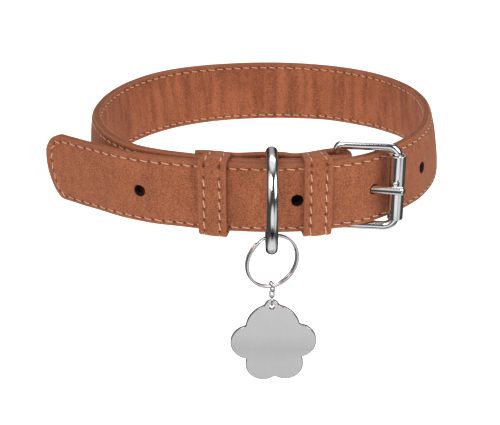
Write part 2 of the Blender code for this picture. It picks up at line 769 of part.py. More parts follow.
tag_outline = lobed_outline(LOBES)
tag_inset = inset(tag_outline, TAG_EDGE)
tag_across = math.cos(math.radians(TAG_ROLL)) * level(0) + math.sin(math.radians(TAG_ROLL)) * UP
tag_up = math.cos(math.radians(TAG_ROLL)) * UP - math.sin(math.radians(TAG_ROLL)) * level(0)
tag_sections = []
for outline, depth in (
    (tag_inset, TAG_THICKNESS / 2),
    (tag_outline, TAG_THICKNESS / 2 - TAG_EDGE),
    (tag_outline, TAG_EDGE - TAG_THICKNESS / 2),
    (tag_inset, -TAG_THICKNESS / 2),
):
    tag_sections.append(
        [
            HOLE_CENTRE + x * tag_across + (z - TAG_LUG_HEIGHT) * tag_up + depth * level(90)
            for x, z in outline
        ]
    )
paw_tag = add_solid("paw_tag", loft(tag_sections), STEEL_FINISH, HOLE_CENTRE)
cut(paw_tag, [cylinder_cutter("cut_tag_hole", HOLE_CENTRE, level(-90), TAG_HOLE, 2 * TAG_THICKNESS)])
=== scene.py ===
import math

import bpy
import numpy as np
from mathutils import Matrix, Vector
from mathutils.kdtree import KDTree


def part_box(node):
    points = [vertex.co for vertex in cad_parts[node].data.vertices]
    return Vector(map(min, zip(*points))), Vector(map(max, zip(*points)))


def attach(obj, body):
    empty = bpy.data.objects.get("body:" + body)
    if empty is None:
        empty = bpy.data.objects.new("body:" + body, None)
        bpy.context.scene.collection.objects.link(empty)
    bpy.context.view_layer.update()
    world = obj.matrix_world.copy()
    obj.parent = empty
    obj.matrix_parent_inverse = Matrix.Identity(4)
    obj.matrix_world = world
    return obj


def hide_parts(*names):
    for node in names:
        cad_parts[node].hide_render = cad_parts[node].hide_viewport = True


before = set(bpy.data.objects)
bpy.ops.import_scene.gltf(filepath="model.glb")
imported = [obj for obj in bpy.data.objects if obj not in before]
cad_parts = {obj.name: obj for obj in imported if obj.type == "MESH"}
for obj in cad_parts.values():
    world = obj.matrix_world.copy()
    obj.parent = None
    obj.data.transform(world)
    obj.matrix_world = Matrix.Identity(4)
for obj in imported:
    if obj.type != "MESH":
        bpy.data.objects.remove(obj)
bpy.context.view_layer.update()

# All lengths are in metres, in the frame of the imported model: the origin is the middle of the neck space,
# +Z is up, the buckle is on the -Y side and the strap's tip points to -X.
MM = 0.001
UP = np.array((0.0, 0.0, 1.0))

# Strap. A few sizes differ a little from the solids', to follow the photograph more closely.
STRAP_LOW, STRAP_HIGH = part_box("strap_leather")
STRAP_WIDTH = STRAP_HIGH.z - STRAP_LOW.z
HALF_WIDTH = STRAP_WIDTH / 2
LEATHER = 1.5 * MM
LINING = 1.4 * MM
LAYER_GAP = 0.3 * MM
STRAP_THICKNESS = LEATHER + LINING + LAYER_GAP
HALF = STRAP_THICKNESS / 2
NECK_RADIUS = 62 * MM
PASS_GAP = 0.3 * MM
PASS_STEP = STRAP_THICKNESS + PASS_GAP
CLEARANCE = 0.3 * MM
TAIL_END = 246
TAIL_REST = 0.7 * MM
TAIL_EASE = 1.6
HEEL_ANGLE = 294.4
TIP_END = 202.3
TIP_FLARE = 15.5 * MM
TIP_ROUND = 8 * MM
TIP_NOSE = 2.8 * MM
TIP_POWER = 1.9
TIP_ROW_POWER = 1.8
TIP_ROW_ROOT = 1.6
FREE_ANGLES = (240, 318)
HOLE_DIAMETER = 4.3 * MM
HOLE_PITCH = 27.4 * MM
HOLES = (-1.078, 1, 2, 3)
HOLE_HEIGHT = -0.5 * MM
SLOT_HEIGHT = 5.8 * MM
SLOT_REACH = 9 * MM

# Keepers, D-ring, buckle, split ring, links and tag. Here too some sizes differ from the solids'.
KEEPER_WIDTH = 9.0 * MM
KEEPER_THICKNESS = 1.4 * MM
KEEPER_CORNER = 0.7 * MM
KEEPER_LEFT_ANGLE = 255.2
KEEPER_RIGHT_ANGLE = 285.35
D_WIRE = 3.3 * MM
D_WIDTH = 4.1 * MM
D_LIFT = 0.5 * MM
D_INNER_HEIGHT = 29.7 * MM
D_ARM = 8.2 * MM
D_BOW = 12.3 * MM
D_CORNER = 2.2 * MM
D_ANGLE = 272.25
D_TURN = -2.0
FRAME_WIRE = 3.2 * MM
FRAME_SIDE_GAP = 0.75 * MM
BUCKLE_RISE = 0.45 * MM
BAR_SPACING = 20.9 * MM
BUCKLE_TILT = 30.7
HEEL_CORNER = 2.0 * MM
ROLLER_CORNER = 4.0 * MM
ROLLER_DIAMETER = 5.5 * MM
ROLLER_LENGTH = 23.6 * MM
ROLLER_BORE_GAP = 0.4 * MM
PRONG_WIRE = 2.9 * MM
PRONG_HOLE_DISTANCE = 11.0 * MM
PRONG_HOLE_GAP = 0.3 * MM
PRONG_OVERHANG = 5.2 * MM
PRONG_LOOP_OPEN = 120
PRONG_DIP = 35
PRONG_BEND = 2.4 * MM
PRONG_LIFT = 9
PRONG_HEIGHT = -2.2 * MM
RING_DIAMETER = 20.5 * MM
RING_RADIAL = 1.0 * MM
RING_DEPTH = 1.8 * MM
RING_REACH = 3.9 * MM
RING_YAW = 24
RING_REST = 0.12 * MM
RING_ASIDE = 0.5 * MM
LINK_WIRE = 0.58 * MM
LINK_BORE = 3.2 * MM
EYE_LENGTH = 2.6 * MM
EYE_WIDTH = 0.85 * MM
LINK_REST = 0.1 * MM
LINK_DROP = 0.35 * MM
TAG_THICKNESS = 1.5 * MM
TAG_HOLE = 2.0 * MM
TAG_LUG_RADIUS = 2.7 * MM
TAG_LUG_HEIGHT = 16.3 * MM
TAG_ROLL = 2.6
TAG_TOP_RADIUS = 9.9 * MM
TAG_TOP_HEIGHT = 7.2 * MM
TAG_SIDE_RADIUS = 6.8 * MM
TAG_SIDE_SPREAD = 8.85 * MM
TAG_SIDE_HEIGHT = 1.9 * MM
TAG_TOE_RADIUS = 6.5 * MM
TAG_TOE_SPREAD = 4.1 * MM
TAG_TOE_DROP = 7.4 * MM

# Looks of the leather
STATION_STEP = 0.5 * MM
FACE_CROWN = 0.9 * MM
HELD_CROWN = 0.22 * MM
LINING_CROWN = 0.2 * MM
LAYER_SEAM = 0.05 * MM
LEATHER_EDGE = 0.75 * MM
LINING_EDGE = 0.45 * MM
STITCH_PITCH = 3.9 * MM
STITCH_LENGTH = 2.75 * MM
STITCH_MARGIN = 1.75 * MM
STITCH_TIP_MARGIN = 3.4 * MM
STITCH_SLANT = 0.22 * MM
THREAD_RADIUS = 0.18 * MM
GROOVE_DEPTH = 0.16 * MM
GROOVE_WIDTH = 0.55 * MM
PUNCTURE_DEPTH = 0.3 * MM
PUNCTURE_WIDTH = 0.42 * MM
# Width of the painted shade that darkens each stitch hole
PUNCTURE_SHADE_WIDTH = 0.42 * MM
HOLE_SINK = 1.0 * MM
EDGE_CREASE = (0.85, 0.7, 0.5, 0.3, 0.15)
CREASE_DEPTH = 0.14 * MM
KEEPER_ROW = 2.4 * MM
ROW_START = 3 * MM
LEAST_LAYER = 0.15 * MM
WORN_REACH = 0.5 * MM
SIDE_WEAR = 0.6
CREASE_SHADE = 0.7
ROLLER_ROUND = 0.18 * MM
ROLLER_SEAM_ANGLE = 200
ROLLER_SEAM_OPEN = 3
PRONG_END_ROUND = 0.55 * MM
COIL_START = 118
COIL_GAP = 0.03 * MM
TAG_BEVEL = 0.32 * MM

# Camera, fitted to the photograph: focal length and picture width in pixels, tilt down in degrees
FOCAL_PIXELS = 1082
PHOTO_WIDTH = 500
SENSOR_WIDTH = 36
CAMERA_PLACE = (-0.005, -0.4067, 0.1422)
CAMERA_DOWN = 23.47

# The loop of the strap's first layer, read anticlockwise seen from above:
# angle in degrees, reach of its neck face as a share of NECK_RADIUS,
# lean of its lower edge outward as a share of STRAP_WIDTH
LOOP = np.array((
    (0, 1.034, 0.165),
    (14, 1.038, 0.165),
    (27, 1.039, 0.160),
    (39, 1.019, 0.110),
    (50, 0.992, 0.070),
    (61, 0.965, 0.060),
    (75, 0.926, 0.000),
    (90, 0.902, -0.040),
    (104, 0.899, -0.055),
    (120, 0.918, -0.090),
    (135, 0.941, -0.110),
    (150, 0.956, -0.080),
    (165, 0.974, -0.030),
    (178, 0.995, 0.000),
    (191, 1.026, 0.030),
    (205, 1.049, 0.060),
    (214, 1.061, 0.060),
    (226, 1.060, 0.040),
    (235, 1.030, 0.020),
    (245, 0.993, 0.000),
    (256, 0.988, 0.000),
    (266, 0.989, 0.000),
    (276, 0.996, 0.000),
    (286, 1.007, 0.000),
    (294.4, 1.015, 0.005),
    (304, 1.030, 0.020),
    (313, 1.042, 0.045),
    (325, 1.046, 0.080),
    (334, 1.041, 0.100),
    (343, 1.035, 0.130),
    (352, 1.033, 0.155),
))

# How the strap leaves its own loop on the way to the tip, by the angle travelled clockwise past 0:
# angle, layers lifted, stand-off as a share of TIP_FLARE, extra lean as a share of STRAP_WIDTH
OVER = np.array((
    (0, 0.00, 0.00, 0.00),
    (30, 0.00, 0.00, 0.00),
    (47, 0.25, 0.00, 0.00),
    (53, 0.54, 0.00, 0.00),
    (58, 0.80, 0.00, 0.00),
    (63, 0.96, 0.00, 0.00),
    (68, 1.00, 0.00, 0.00),
    (98, 1.00, 0.00, 0.00),
    (104, 1.00, 0.05, 0.00),
    (112, 1.00, 0.08, 0.00),
    (119, 1.00, 0.12, -0.01),
    (126, 1.00, 0.14, -0.03),
    (132, 1.00, 0.17, -0.06),
    (140, 1.00, 0.28, -0.08),
    (148, 1.00, 0.54, -0.09),
    (153, 1.00, 0.77, -0.09),
    (157.7, 1.00, 1.00, -0.09),
))


def smooth_rows(rows, angle, period=None):
    """The table's columns at these angles, on a smooth curve through its rows."""
    angle = np.asarray(angle, float)
    if period:
        before, after, second = rows[-1].copy(), rows[0].copy(), rows[1].copy()
        before[0] -= period
        after[0] += period
        second[0] += period
        rows = np.vstack([before, rows, after, second])
        angle = angle % period
    index = np.clip(np.searchsorted(rows[:, 0], angle, side="left") - 1, 0, len(rows) - 2)
    low, high = rows[index], rows[index + 1]
    below, above = rows[np.maximum(index - 1, 0)], rows[np.minimum(index + 2, len(rows) - 1)]
    span = (high[..., 0] - low[..., 0])[..., None]
    part = np.clip((angle - low[..., 0])[..., None] / span, 0, 1)
    start_slope = (high - below)[..., 1:] / (high - below)[..., :1] * span
    end_slope = (above - low)[..., 1:] / (above - low)[..., :1] * span
    return (
        (2 * part**3 - 3 * part**2 + 1) * low[..., 1:]
        + (part**3 - 2 * part**2 + part) * start_slope
        + (3 * part**2 - 2 * part**3) * high[..., 1:]
        + (part**3 - part**2) * end_slope
    )


def polar(angle, reach):
    """Points at these angles in degrees and distances from the origin, seen from above."""
    turn = np.radians(angle)
    return np.stack([reach * np.cos(turn), reach * np.sin(turn)], -1)


def unit(vectors):
    return vectors / np.linalg.norm(vectors, axis=-1, keepdims=True)


def run_lengths(points):
    """The distance along a line of points, at each of them."""
    return np.concatenate([[0], np.cumsum(np.linalg.norm(np.diff(points, axis=0), axis=1))])


def along_line(places, lengths, line):
    """The line's values at these distances along it."""
    return np.stack([np.interp(places, lengths, line[:, axis]) for axis in (0, 1)], -1)


def loop_face(angle):
    return smooth_rows(LOOP, angle, 360)[..., 0] * NECK_RADIUS


def tail_gap(angle):
    """The room between the first layer and the folded tail."""
    keeper_room = KEEPER_THICKNESS + 2 * CLEARANCE
    d_room = D_WIRE + 2 * CLEARANCE
    heel_room = FRAME_WIRE + 2 * CLEARANCE
    d_spread = math.degrees(0.5 * D_WIDTH / NECK_RADIUS) + TAIL_EASE
    keeper_spread = math.degrees(0.5 * KEEPER_WIDTH / NECK_RADIUS) + TAIL_EASE / 2
    rows = np.array((
        (TAIL_END, TAIL_REST),
        (KEEPER_LEFT_ANGLE - keeper_spread, keeper_room),
        (KEEPER_LEFT_ANGLE + keeper_spread, keeper_room),
        (D_ANGLE - d_spread, d_room),
        (D_ANGLE + d_spread, d_room),
        (KEEPER_RIGHT_ANGLE - keeper_spread, keeper_room),
        (HEEL_ANGLE - 3, heel_room),
        (HEEL_ANGLE, heel_room),
    ))
    return smooth_rows(rows, angle)[..., 0]


HEEL = polar(HEEL_ANGLE, loop_face(HEEL_ANGLE) - CLEARANCE - FRAME_WIRE / 2)
BUCKLE_ALONG = polar(HEEL_ANGLE + 90 - BUCKLE_TILT, 1)
BUCKLE_OUT = polar(HEEL_ANGLE - BUCKLE_TILT, 1)
ROLLER_BAR = HEEL + BAR_SPACING * BUCKLE_ALONG


class Path:
    """The middle of the strap's thickness seen from above, from the tail to the tip."""

    def __init__(self):
        tail = np.linspace(TAIL_END, HEEL_ANGLE, 90, endpoint=False)
        tail_points = polar(tail, loop_face(tail) - tail_gap(tail) - HALF)
        turn = np.linspace(HEEL_ANGLE + 180, HEEL_ANGLE, 40)
        fold_points = HEEL + polar(turn, FRAME_WIRE / 2 + CLEARANCE + HALF)
        start, end = -HEEL_ANGLE, 360 - TIP_END
        travel = np.arange(start + 1, end, 0.5)
        reach, lean = smooth_rows(LOOP, -travel, 360).T
        lifted, flare, extra = np.where(travel[:, None] > 0, smooth_rows(OVER, np.maximum(travel, 0)), 0).T
        loop_points = polar(-travel, reach * NECK_RADIUS + HALF + lifted * PASS_STEP + flare * TIP_FLARE)
        points = np.vstack([tail_points, fold_points, loop_points])
        leans = np.concatenate([np.zeros(len(tail) + len(turn)), (lean + extra) * STRAP_WIDTH])
        steps = np.linalg.norm(np.diff(points, axis=0), axis=1)
        keep = np.concatenate([[True], steps > 1e-7])
        points, leans = points[keep], leans[keep]
        self.distances = run_lengths(points)
        self.points, self.leans, self.length = points, leans, self.distances[-1]

    def at(self, distance):
        """(points, directions, outward sides, leans) at these distances from the tail's end."""
        distance = np.asarray(distance, float)

        def spot(place):
            return along_line(place, self.distances, self.points)

        reach = 0.8 * MM
        way = unit(spot(np.minimum(distance + reach, self.length)) - spot(np.maximum(distance - reach, 0)))
        side = np.stack([-way[..., 1], way[..., 0]], -1)
        return spot(distance), way, side, np.interp(distance, self.distances, self.leans)

    def nearest(self, target, start, end):
        places = np.linspace(start, end, 4000)
        return places[np.argmin(np.linalg.norm(self.at(places)[0] - target, axis=-1))]


STRAP = Path()
FOLD_START = STRAP.nearest(HEEL - polar(HEEL_ANGLE, FRAME_WIRE), 0, STRAP.length * 0.2)
FOLD_END = FOLD_START + math.pi * (FRAME_WIRE / 2 + CLEARANCE + HALF)
SECOND_PASS = STRAP.length * 0.62
FREE_START = STRAP.nearest(polar(FREE_ANGLES[0], NECK_RADIUS), FOLD_END, STRAP.length / 2)
FREE_END = STRAP.nearest(polar(FREE_ANGLES[1], NECK_RADIUS), STRAP.length / 2, STRAP.length * 0.9)
PRONG_HOLE = STRAP.nearest(HEEL + PRONG_HOLE_DISTANCE * BUCKLE_ALONG, SECOND_PASS, STRAP.length * 0.9)


def strap_points(place, out, height):
    """Points of the strap: distance along it, distance out from its mid thickness, height."""
    point, _, side, lean = STRAP.at(place)
    shifted = point + (out - lean * height / STRAP_WIDTH)[..., None] * side
    return np.concatenate([shifted, np.broadcast_to(height, place.shape)[..., None]], -1)


def strap_edges(place):
    """Heights of the strap's lower and upper edge, drawn in at the rounded tip."""
    into = 1 - np.clip((STRAP.length - place) / TIP_ROUND, 0, 1)
    share = (1 - into**TIP_POWER) ** (1 / TIP_POWER)
    return TIP_NOSE - (HALF_WIDTH + TIP_NOSE) * share, TIP_NOSE + (HALF_WIDTH - TIP_NOSE) * share


def free_share(place):
    """How far the strap is free of its own layers, from 0 where it is held flat to 1 round the neck."""
    rise = np.clip((place - FREE_START) / STRAP_WIDTH, 0, 1)
    fall = np.clip((FREE_END - place) / STRAP_WIDTH, 0, 1)
    return np.minimum(rise, fall)


def ripples(x, y, seed):
    """Smooth random heights from -1 to 1 on a lattice one unit wide, the same at every run."""
    size = 256
    lattice = np.random.RandomState(seed).uniform(-1, 1, (size, size))
    column, row = np.floor(x).astype(int), np.floor(y).astype(int)
    across, down = x - column, y - row
    across, down = across**2 * (3 - 2 * across), down**2 * (3 - 2 * down)

    def in_row(index):
        left, right = lattice[index % size, column % size], lattice[index % size, (column + 1) % size]
        return left * (1 - across) + right * across

    return in_row(row) * (1 - down) + in_row(row + 1) * down


def grid_object(name, rings, materials, closed=False, smooth_angle=60):
    """A mesh through rings of points, given as an array of (rings, points, 3), capped unless it closes."""
    count, size = rings.shape[:2]
    pairs = count if closed else count - 1
    row = np.arange(pairs)[:, None] * size
    after = (np.arange(pairs)[:, None] + 1) % count * size
    column = np.arange(size)[None, :]
    beside = (column + 1) % size
    faces = np.stack([row + column, row + beside, after + beside, after + column], -1).reshape(-1, 4).tolist()
    if not closed:
        faces.append(list(range(size))[::-1])
        faces.append(list(range((count - 1) * size, count * size)))
    mesh = bpy.data.meshes.new(name)
    mesh.from_pydata(rings.reshape(-1, 3).tolist(), [], faces)
    return finish_mesh(name, mesh, materials, smooth_angle)


def finish_mesh(name, mesh, materials, smooth_angle=60):
    """An object of this mesh, turned outward and shaded smooth, with its materials."""
    mesh.update()
    mesh.calc_loop_triangles()
    corners = np.zeros(len(mesh.vertices) * 3)
    mesh.vertices.foreach_get("co", corners)
    triangles = np.zeros(len(mesh.loop_triangles) * 3, np.int32)
    mesh.loop_triangles.foreach_get("vertices", triangles)
    a, b, c = corners.reshape(-1, 3)[triangles.reshape(-1, 3)].transpose(1, 0, 2)
    if np.einsum("ij,ij->i", a, np.cross(b, c)).sum() < 0:
        mesh.flip_normals()
    mesh.shade_smooth()
    mesh.set_sharp_from_angle(angle=math.radians(smooth_angle))
    for finish in materials:
        mesh.materials.append(finish)
    made = bpy.data.objects.new(name, mesh)
    bpy.context.scene.collection.objects.link(made)
    return made


# Materials


class Nodes:
    """A node material with short calls for the nodes that it uses."""

    def __init__(self, name):
        self.material = bpy.data.materials.new(name)
        self.material.use_nodes = True
        self.tree = self.material.node_tree
        self.shader = self.tree.nodes["Principled BSDF"]
        self.place = self.tree.nodes.new("ShaderNodeTexCoord").outputs["Object"]

    def add(self, kind, settings=None, inputs=None):
        node = self.tree.nodes.new(kind)
        for key, value in (settings or {}).items():
            setattr(node, key, value)
        for key, value in (inputs or {}).items():
            if isinstance(value, bpy.types.NodeSocket):
                self.tree.links.new(value, node.inputs[key])
            else:
                node.inputs[key].default_value = value
        return node

    def stretched(self, scale):
        """The object's own coordinates, scaled by axis."""
        return self.add("ShaderNodeMapping", None, {"Vector": self.place, "Scale": scale}).outputs["Vector"]

    def noise(self, scale, detail=3.0, roughness=0.55, vector=None, distortion=0.0):
        found = {"Scale": scale, "Detail": detail, "Roughness": roughness, "Distortion": distortion}
        found["Vector"] = vector or self.place
        return self.add("ShaderNodeTexNoise", None, found).outputs["Fac"]

    def cells(self, scale, feature="F1", randomness=1.0):
        found = {"Vector": self.place, "Scale": scale, "Randomness": randomness}
        return self.add("ShaderNodeTexVoronoi", {"feature": feature}, found).outputs["Distance"]

    def math(self, operation, first, second=0.5):
        return self.add("ShaderNodeMath", {"operation": operation}, {0: first, 1: second}).outputs[0]

    def spread(self, value, low, high, to_low=0.0, to_high=1.0):
        """The value's stretch from low to high, mapped to another and kept inside it."""
        found = {"Value": value, "From Min": low, "From Max": high, "To Min": to_low, "To Max": to_high}
        return self.add("ShaderNodeMapRange", None, found).outputs[0]

    def mix(self, share, first, second, blend="MIX"):
        node = self.add("ShaderNodeMix", {"data_type": "RGBA", "blend_type": blend})
        for index, value in ((0, share), (6, first), (7, second)):
            if isinstance(value, bpy.types.NodeSocket):
                self.tree.links.new(value, node.inputs[index])
            else:
                node.inputs[index].default_value = value
        return node.outputs[2]

    def bump(self, height, distance, strength=1.0, normal=None):
        found = {"Height": height, "Distance": distance, "Strength": strength}
        if normal:
            found["Normal"] = normal
        return self.add("ShaderNodeBump", None, found).outputs["Normal"]

    def finish(self, **sockets):
        for key, value in sockets.items():
            socket = self.shader.inputs[key.replace("_", " ")]
            if isinstance(value, bpy.types.NodeSocket):
                self.tree.links.new(value, socket)
            else:
                socket.default_value = value
        return self.material


def shade(colour, strength=1.0):
    """An opaque colour, this much as bright."""
    return (*[strength * value for value in colour], 1)


def leather(name, light, dark, edge, pleats=0.0):
    """Fine nubuck: mottled colour, small grain, a soft sheen, and soft upright pleats of this strength,
    bumped and with painted shade along them.
    """
    nodes = Nodes(name)
    grain = nodes.noise(2300, 4, 0.6)
    cloud = nodes.noise(75, 3, 0.5)
    scuff = nodes.noise(420, 3, 0.6, nodes.stretched((1, 1, 0.35)))
    pores = nodes.cells(1350)
    tone = nodes.spread(grain, 0.42, 0.58, 0, 0.66)
    tone = nodes.math("ADD", tone, nodes.spread(cloud, 0.3, 0.7, 0, 0.12))
    tone = nodes.math("ADD", tone, nodes.spread(scuff, 0.35, 0.65, 0, 0.22))
    # The pleats' streaks also lighten and darken the colour: painted shade of the pleats
    streaks = nodes.noise(260, 3, 0.5, nodes.stretched((1, 1, 0.08)))
    tone = nodes.math("ADD", tone, nodes.spread(streaks, 0.35, 0.65, -pleats, pleats))
    colour = nodes.mix(tone, shade(dark), shade(light))
    worn = nodes.add("ShaderNodeAttribute", {"attribute_name": "edge"}).outputs["Fac"]
    patchy = nodes.math("MULTIPLY", worn, nodes.spread(grain, 0.3, 0.6, 0.5, 1.0))
    colour = nodes.mix(patchy, colour, shade(edge))
    # Painted shade: the colour is mixed toward a dark brown at stitch holes and beside the back's edge
    # grooves
    painted_shade_marks = nodes.add("ShaderNodeAttribute", {"attribute_name": "painted_shade"}).outputs["Fac"]
    colour = nodes.mix(painted_shade_marks, colour, shade(dark, 0.32))
    height = nodes.math("ADD", nodes.math("MULTIPLY", grain, 0.6), nodes.math("MULTIPLY", pores, 0.5))
    normal = nodes.bump(height, 0.22 * MM, 0.9)
    normal = nodes.bump(streaks, 1.6 * MM * pleats, 1.0, normal)
    rough = nodes.spread(grain, 0.3, 0.7, 0.62, 0.82)
    return nodes.finish(
        Base_Color=colour, Roughness=rough, Normal=normal, Sheen_Weight=0.08, Sheen_Roughness=0.5,
        Sheen_Tint=(1.0, 0.72, 0.6, 1), Specular_IOR_Level=0.28,
    )


def thread(name, light, dark):
    """Twisted polyester thread."""
    nodes = Nodes(name)
    twist = nodes.noise(2600, 2, 0.5)
    colour = nodes.mix(nodes.spread(twist, 0.35, 0.65), shade(dark), shade(light))
    normal = nodes.bump(twist, 0.08 * MM, 0.8)
    return nodes.finish(Base_Color=colour, Roughness=0.62, Normal=normal, Sheen_Weight=0.2)


def cut_edge(name, colour):
    """The dark wall of a punched hole."""
    nodes = Nodes(name)
    fibre = nodes.noise(1800, 3, 0.6)
    tint = nodes.mix(fibre, shade(colour, 0.5), shade(colour))
    return nodes.finish(Base_Color=tint, Roughness=0.9, Normal=nodes.bump(fibre, 0.1 * MM, 0.6))


def plating(name, colour, roughness):
    """Polished plating with faint unevenness and hairline marks."""
    nodes = Nodes(name)
    haze = nodes.noise(180, 3, 0.5)
    marks = nodes.noise(3000, 2, 0.5, nodes.stretched((1, 1, 0.15)))
    tint = nodes.mix(nodes.spread(haze, 0.3, 0.7), shade(colour, 0.94), shade(colour))
    normal = nodes.bump(marks, 0.004 * MM, 0.3)
    normal = nodes.bump(nodes.noise(120, 2, 0.5), 0.05 * MM, 0.25, normal)
    rough = nodes.spread(haze, 0.3, 0.7, roughness, roughness * 1.6)
    return nodes.finish(Base_Color=tint, Metallic=1.0, Roughness=rough, Normal=normal)


def brushed(name, colour, roughness, reflection_band_height, reflection_band_reach):
    """Steel brushed upright in fine lines, with a painted darker reflection band at one height."""
    nodes = Nodes(name)
    lines = nodes.noise(5200, 3, 0.6, nodes.stretched((1, 1, 0.012)))
    haze = nodes.noise(110, 3, 0.5)
    tone = nodes.spread(lines, 0.3, 0.7, 0, 0.75)
    tone = nodes.math("ADD", tone, nodes.spread(haze, 0.3, 0.7, 0, 0.25))
    tint = nodes.mix(tone, shade(colour, 0.86), shade(colour))
    # Painted reflection: a soft darker band at one height across the face
    height = nodes.add("ShaderNodeSeparateXYZ", None, {0: nodes.place}).outputs["Z"]
    gap = nodes.math("ABSOLUTE", nodes.math("SUBTRACT", height, reflection_band_height))
    tint = nodes.mix(nodes.spread(gap, 0, reflection_band_reach, 0.45, 1), shade(colour, 0.76), tint)
    normal = nodes.bump(lines, 0.012 * MM, 0.35)
    rough = nodes.spread(lines, 0.3, 0.7, roughness, roughness * 1.35)
    return nodes.finish(Base_Color=tint, Metallic=1.0, Roughness=rough, Normal=normal, Anisotropic=0.4)


COGNAC = leather("cognac_nubuck", (0.44, 0.138, 0.057), (0.165, 0.045, 0.017), (0.33, 0.105, 0.047))
# The lining's pleats have painted shade in their colour as well as a bump
COGNAC_LINING = leather(
    "lining_nubuck", (0.43, 0.130, 0.054), (0.170, 0.044, 0.016), (0.33, 0.105, 0.048), pleats=0.24
)
THREAD = thread("cream_thread", (0.78, 0.47, 0.32), (0.50, 0.25, 0.155))
HOLE_WALL = cut_edge("hole_wall", (0.022, 0.010, 0.007))
CHROME = plating("polished_chrome", (0.80, 0.80, 0.81), 0.07)
RING_STEEL = plating("ring_steel", (0.72, 0.72, 0.73), 0.14)
# The tag's face carries a painted dark reflection band round 61 mm below the neck's middle
TAG_STEEL = brushed("brushed_tag_steel", (0.74, 0.74, 0.74), 0.24, -61 * MM, 6 * MM)
TAG_RIM = plating("tag_rim_steel", (0.62, 0.62, 0.63), 0.16)


# Stitch rows, as (distance along the strap, height)


def strap_row():
    """The one row of stitches that runs along both edges and round the tip."""
    straight_end = STRAP.length - TIP_ROUND
    reach = TIP_ROUND - STITCH_TIP_MARGIN
    row_half = HALF_WIDTH - STITCH_MARGIN
    along = np.linspace(ROW_START, straight_end, 2400)
    turn = np.linspace(0, math.pi / 2, 80)
    upper_tip = np.stack(
        [straight_end + reach * np.sin(turn), TIP_NOSE + (row_half - TIP_NOSE) * np.cos(turn)], -1
    )
    into = np.sin(turn)
    share = (1 - into**TIP_ROW_POWER) ** (1 / TIP_ROW_ROOT)
    lower_tip = np.stack([straight_end + reach * into, TIP_NOSE - (row_half + TIP_NOSE) * share], -1)
    upper = np.stack([along, np.full(len(along), row_half)], -1)
    lower = np.stack([along, np.full(len(along), -row_half)], -1)
    return np.vstack([upper, upper_tip[1:], lower_tip[::-1][1:], lower[::-1][1:]])


def spaced(line, pitch):
    """Points along the line, a pitch apart, and the line's direction at each."""
    lengths = run_lengths(line)
    places = np.arange(int(lengths[-1] // pitch)) * pitch
    points = along_line(places, lengths, line)
    return points, unit(along_line(places + 0.2 * MM, lengths, line) - points)


def tree_of(points):
    tree = KDTree(len(points))
    for index, point in enumerate(points):
        tree.insert((point[0], point[1], 0), index)
    tree.balance()
    return tree


def distances_to(tree, places, heights):
    flat = zip(places.ravel().tolist(), heights.ravel().tolist())
    found = np.array([tree.find((place, height, 0))[2] for place, height in flat])
    return found.reshape(places.shape)


ROW = strap_row()
PUNCTURES, ROW_WAYS = spaced(ROW, STITCH_PITCH)
ROW_TREE = tree_of(ROW)
PUNCTURE_TREE = tree_of(PUNCTURES)


def stitch_relief(row_gap, puncture_gap):
    """How far a face is drawn in by its stitches."""
    groove = GROOVE_DEPTH * np.exp(-((row_gap / GROOVE_WIDTH) ** 2))
    return groove + PUNCTURE_DEPTH * np.exp(-((puncture_gap / PUNCTURE_WIDTH) ** 2))


def face_height(place, height, outer):
    """Distance of a face's surface from the strap's mid thickness, outward or, for the lining, inward."""
    lower, upper = strap_edges(place)
    middle = (lower + upper) / 2
    share = np.clip(np.abs(height - middle) / np.maximum((upper - lower) / 2, 1e-6), 0, 1)
    free = free_share(place)
    if outer:
        crown = HELD_CROWN + (FACE_CROWN - HELD_CROWN) * free
        waves = 0.05 * ripples(place / (5 * MM), height / (9 * MM), 3)
        waves = waves + 0.05 * ripples(place / (12 * MM), height / (7 * MM), 4)
        return HALF + crown * (1 - share**2.4) - 0.1 * MM + waves * MM
    along = np.clip((place - FOLD_END) / (STRAP.length - FOLD_END), 0, 1)
    creased = np.exp(-(((along - 0.50) / 0.13) ** 2)) + 0.7 * np.exp(-(((along - 0.36) / 0.10) ** 2))
    creased = creased + 0.6 * np.exp(-(((along - 0.64) / 0.08) ** 2))
    lean_place = place + 0.15 * height
    pleats = 0.55 * ripples(lean_place / (2.6 * MM), height / (30 * MM), 7)
    pleats = pleats + 0.45 * ripples(lean_place / (1.5 * MM), height / (16 * MM), 8)
    inner = 1 - share**4
    swell = 0.55 * MM * (0.25 + creased) * pleats * inner
    held = 0.15 + 0.85 * free
    return HALF + LINING_CROWN * held * (1 - share**2) + swell * held


def edge_curve(gap, radius):
    """How far a face falls away this near its edge, on a rounded edge of this radius."""
    inside = np.clip(radius - gap, 0, radius)
    return radius - np.sqrt(np.maximum(radius**2 - inside**2, 0))


def strap_stations():
    straight = np.arange(0, STRAP.length - TIP_ROUND, STATION_STEP)
    turn = np.linspace(0, math.pi / 2, 44)[:-1]
    into = np.concatenate([np.sin(turn), [0.9997, 0.99998]])
    return np.concatenate([straight, STRAP.length - TIP_ROUND * (1 - into)])


def across_shares():
    """Places across a face as shares of its width, closer together at the edges and the stitch rows."""
    rim = np.array((0, 0.06, 0.14, 0.26, 0.42, 0.62, 0.84)) * MM
    row = STITCH_MARGIN + np.array((-0.7, -0.48, -0.26, -0.08, 0.1, 0.3, 0.55, 0.85, 1.2)) * MM
    near = np.concatenate([rim, row]) / STRAP_WIDTH
    middle = np.linspace(near[-1], 0.5, 12)[1:]
    half = np.concatenate([near, middle])
    return np.concatenate([half, 1 - half[:-1][::-1]])


def add_shares(made, name, values):
    """A value from 0 to 1 at each point, for the materials."""
    attribute = made.data.attributes.new(name, "FLOAT", "POINT")
    attribute.data.foreach_set("value", values.ravel().astype(np.float32))


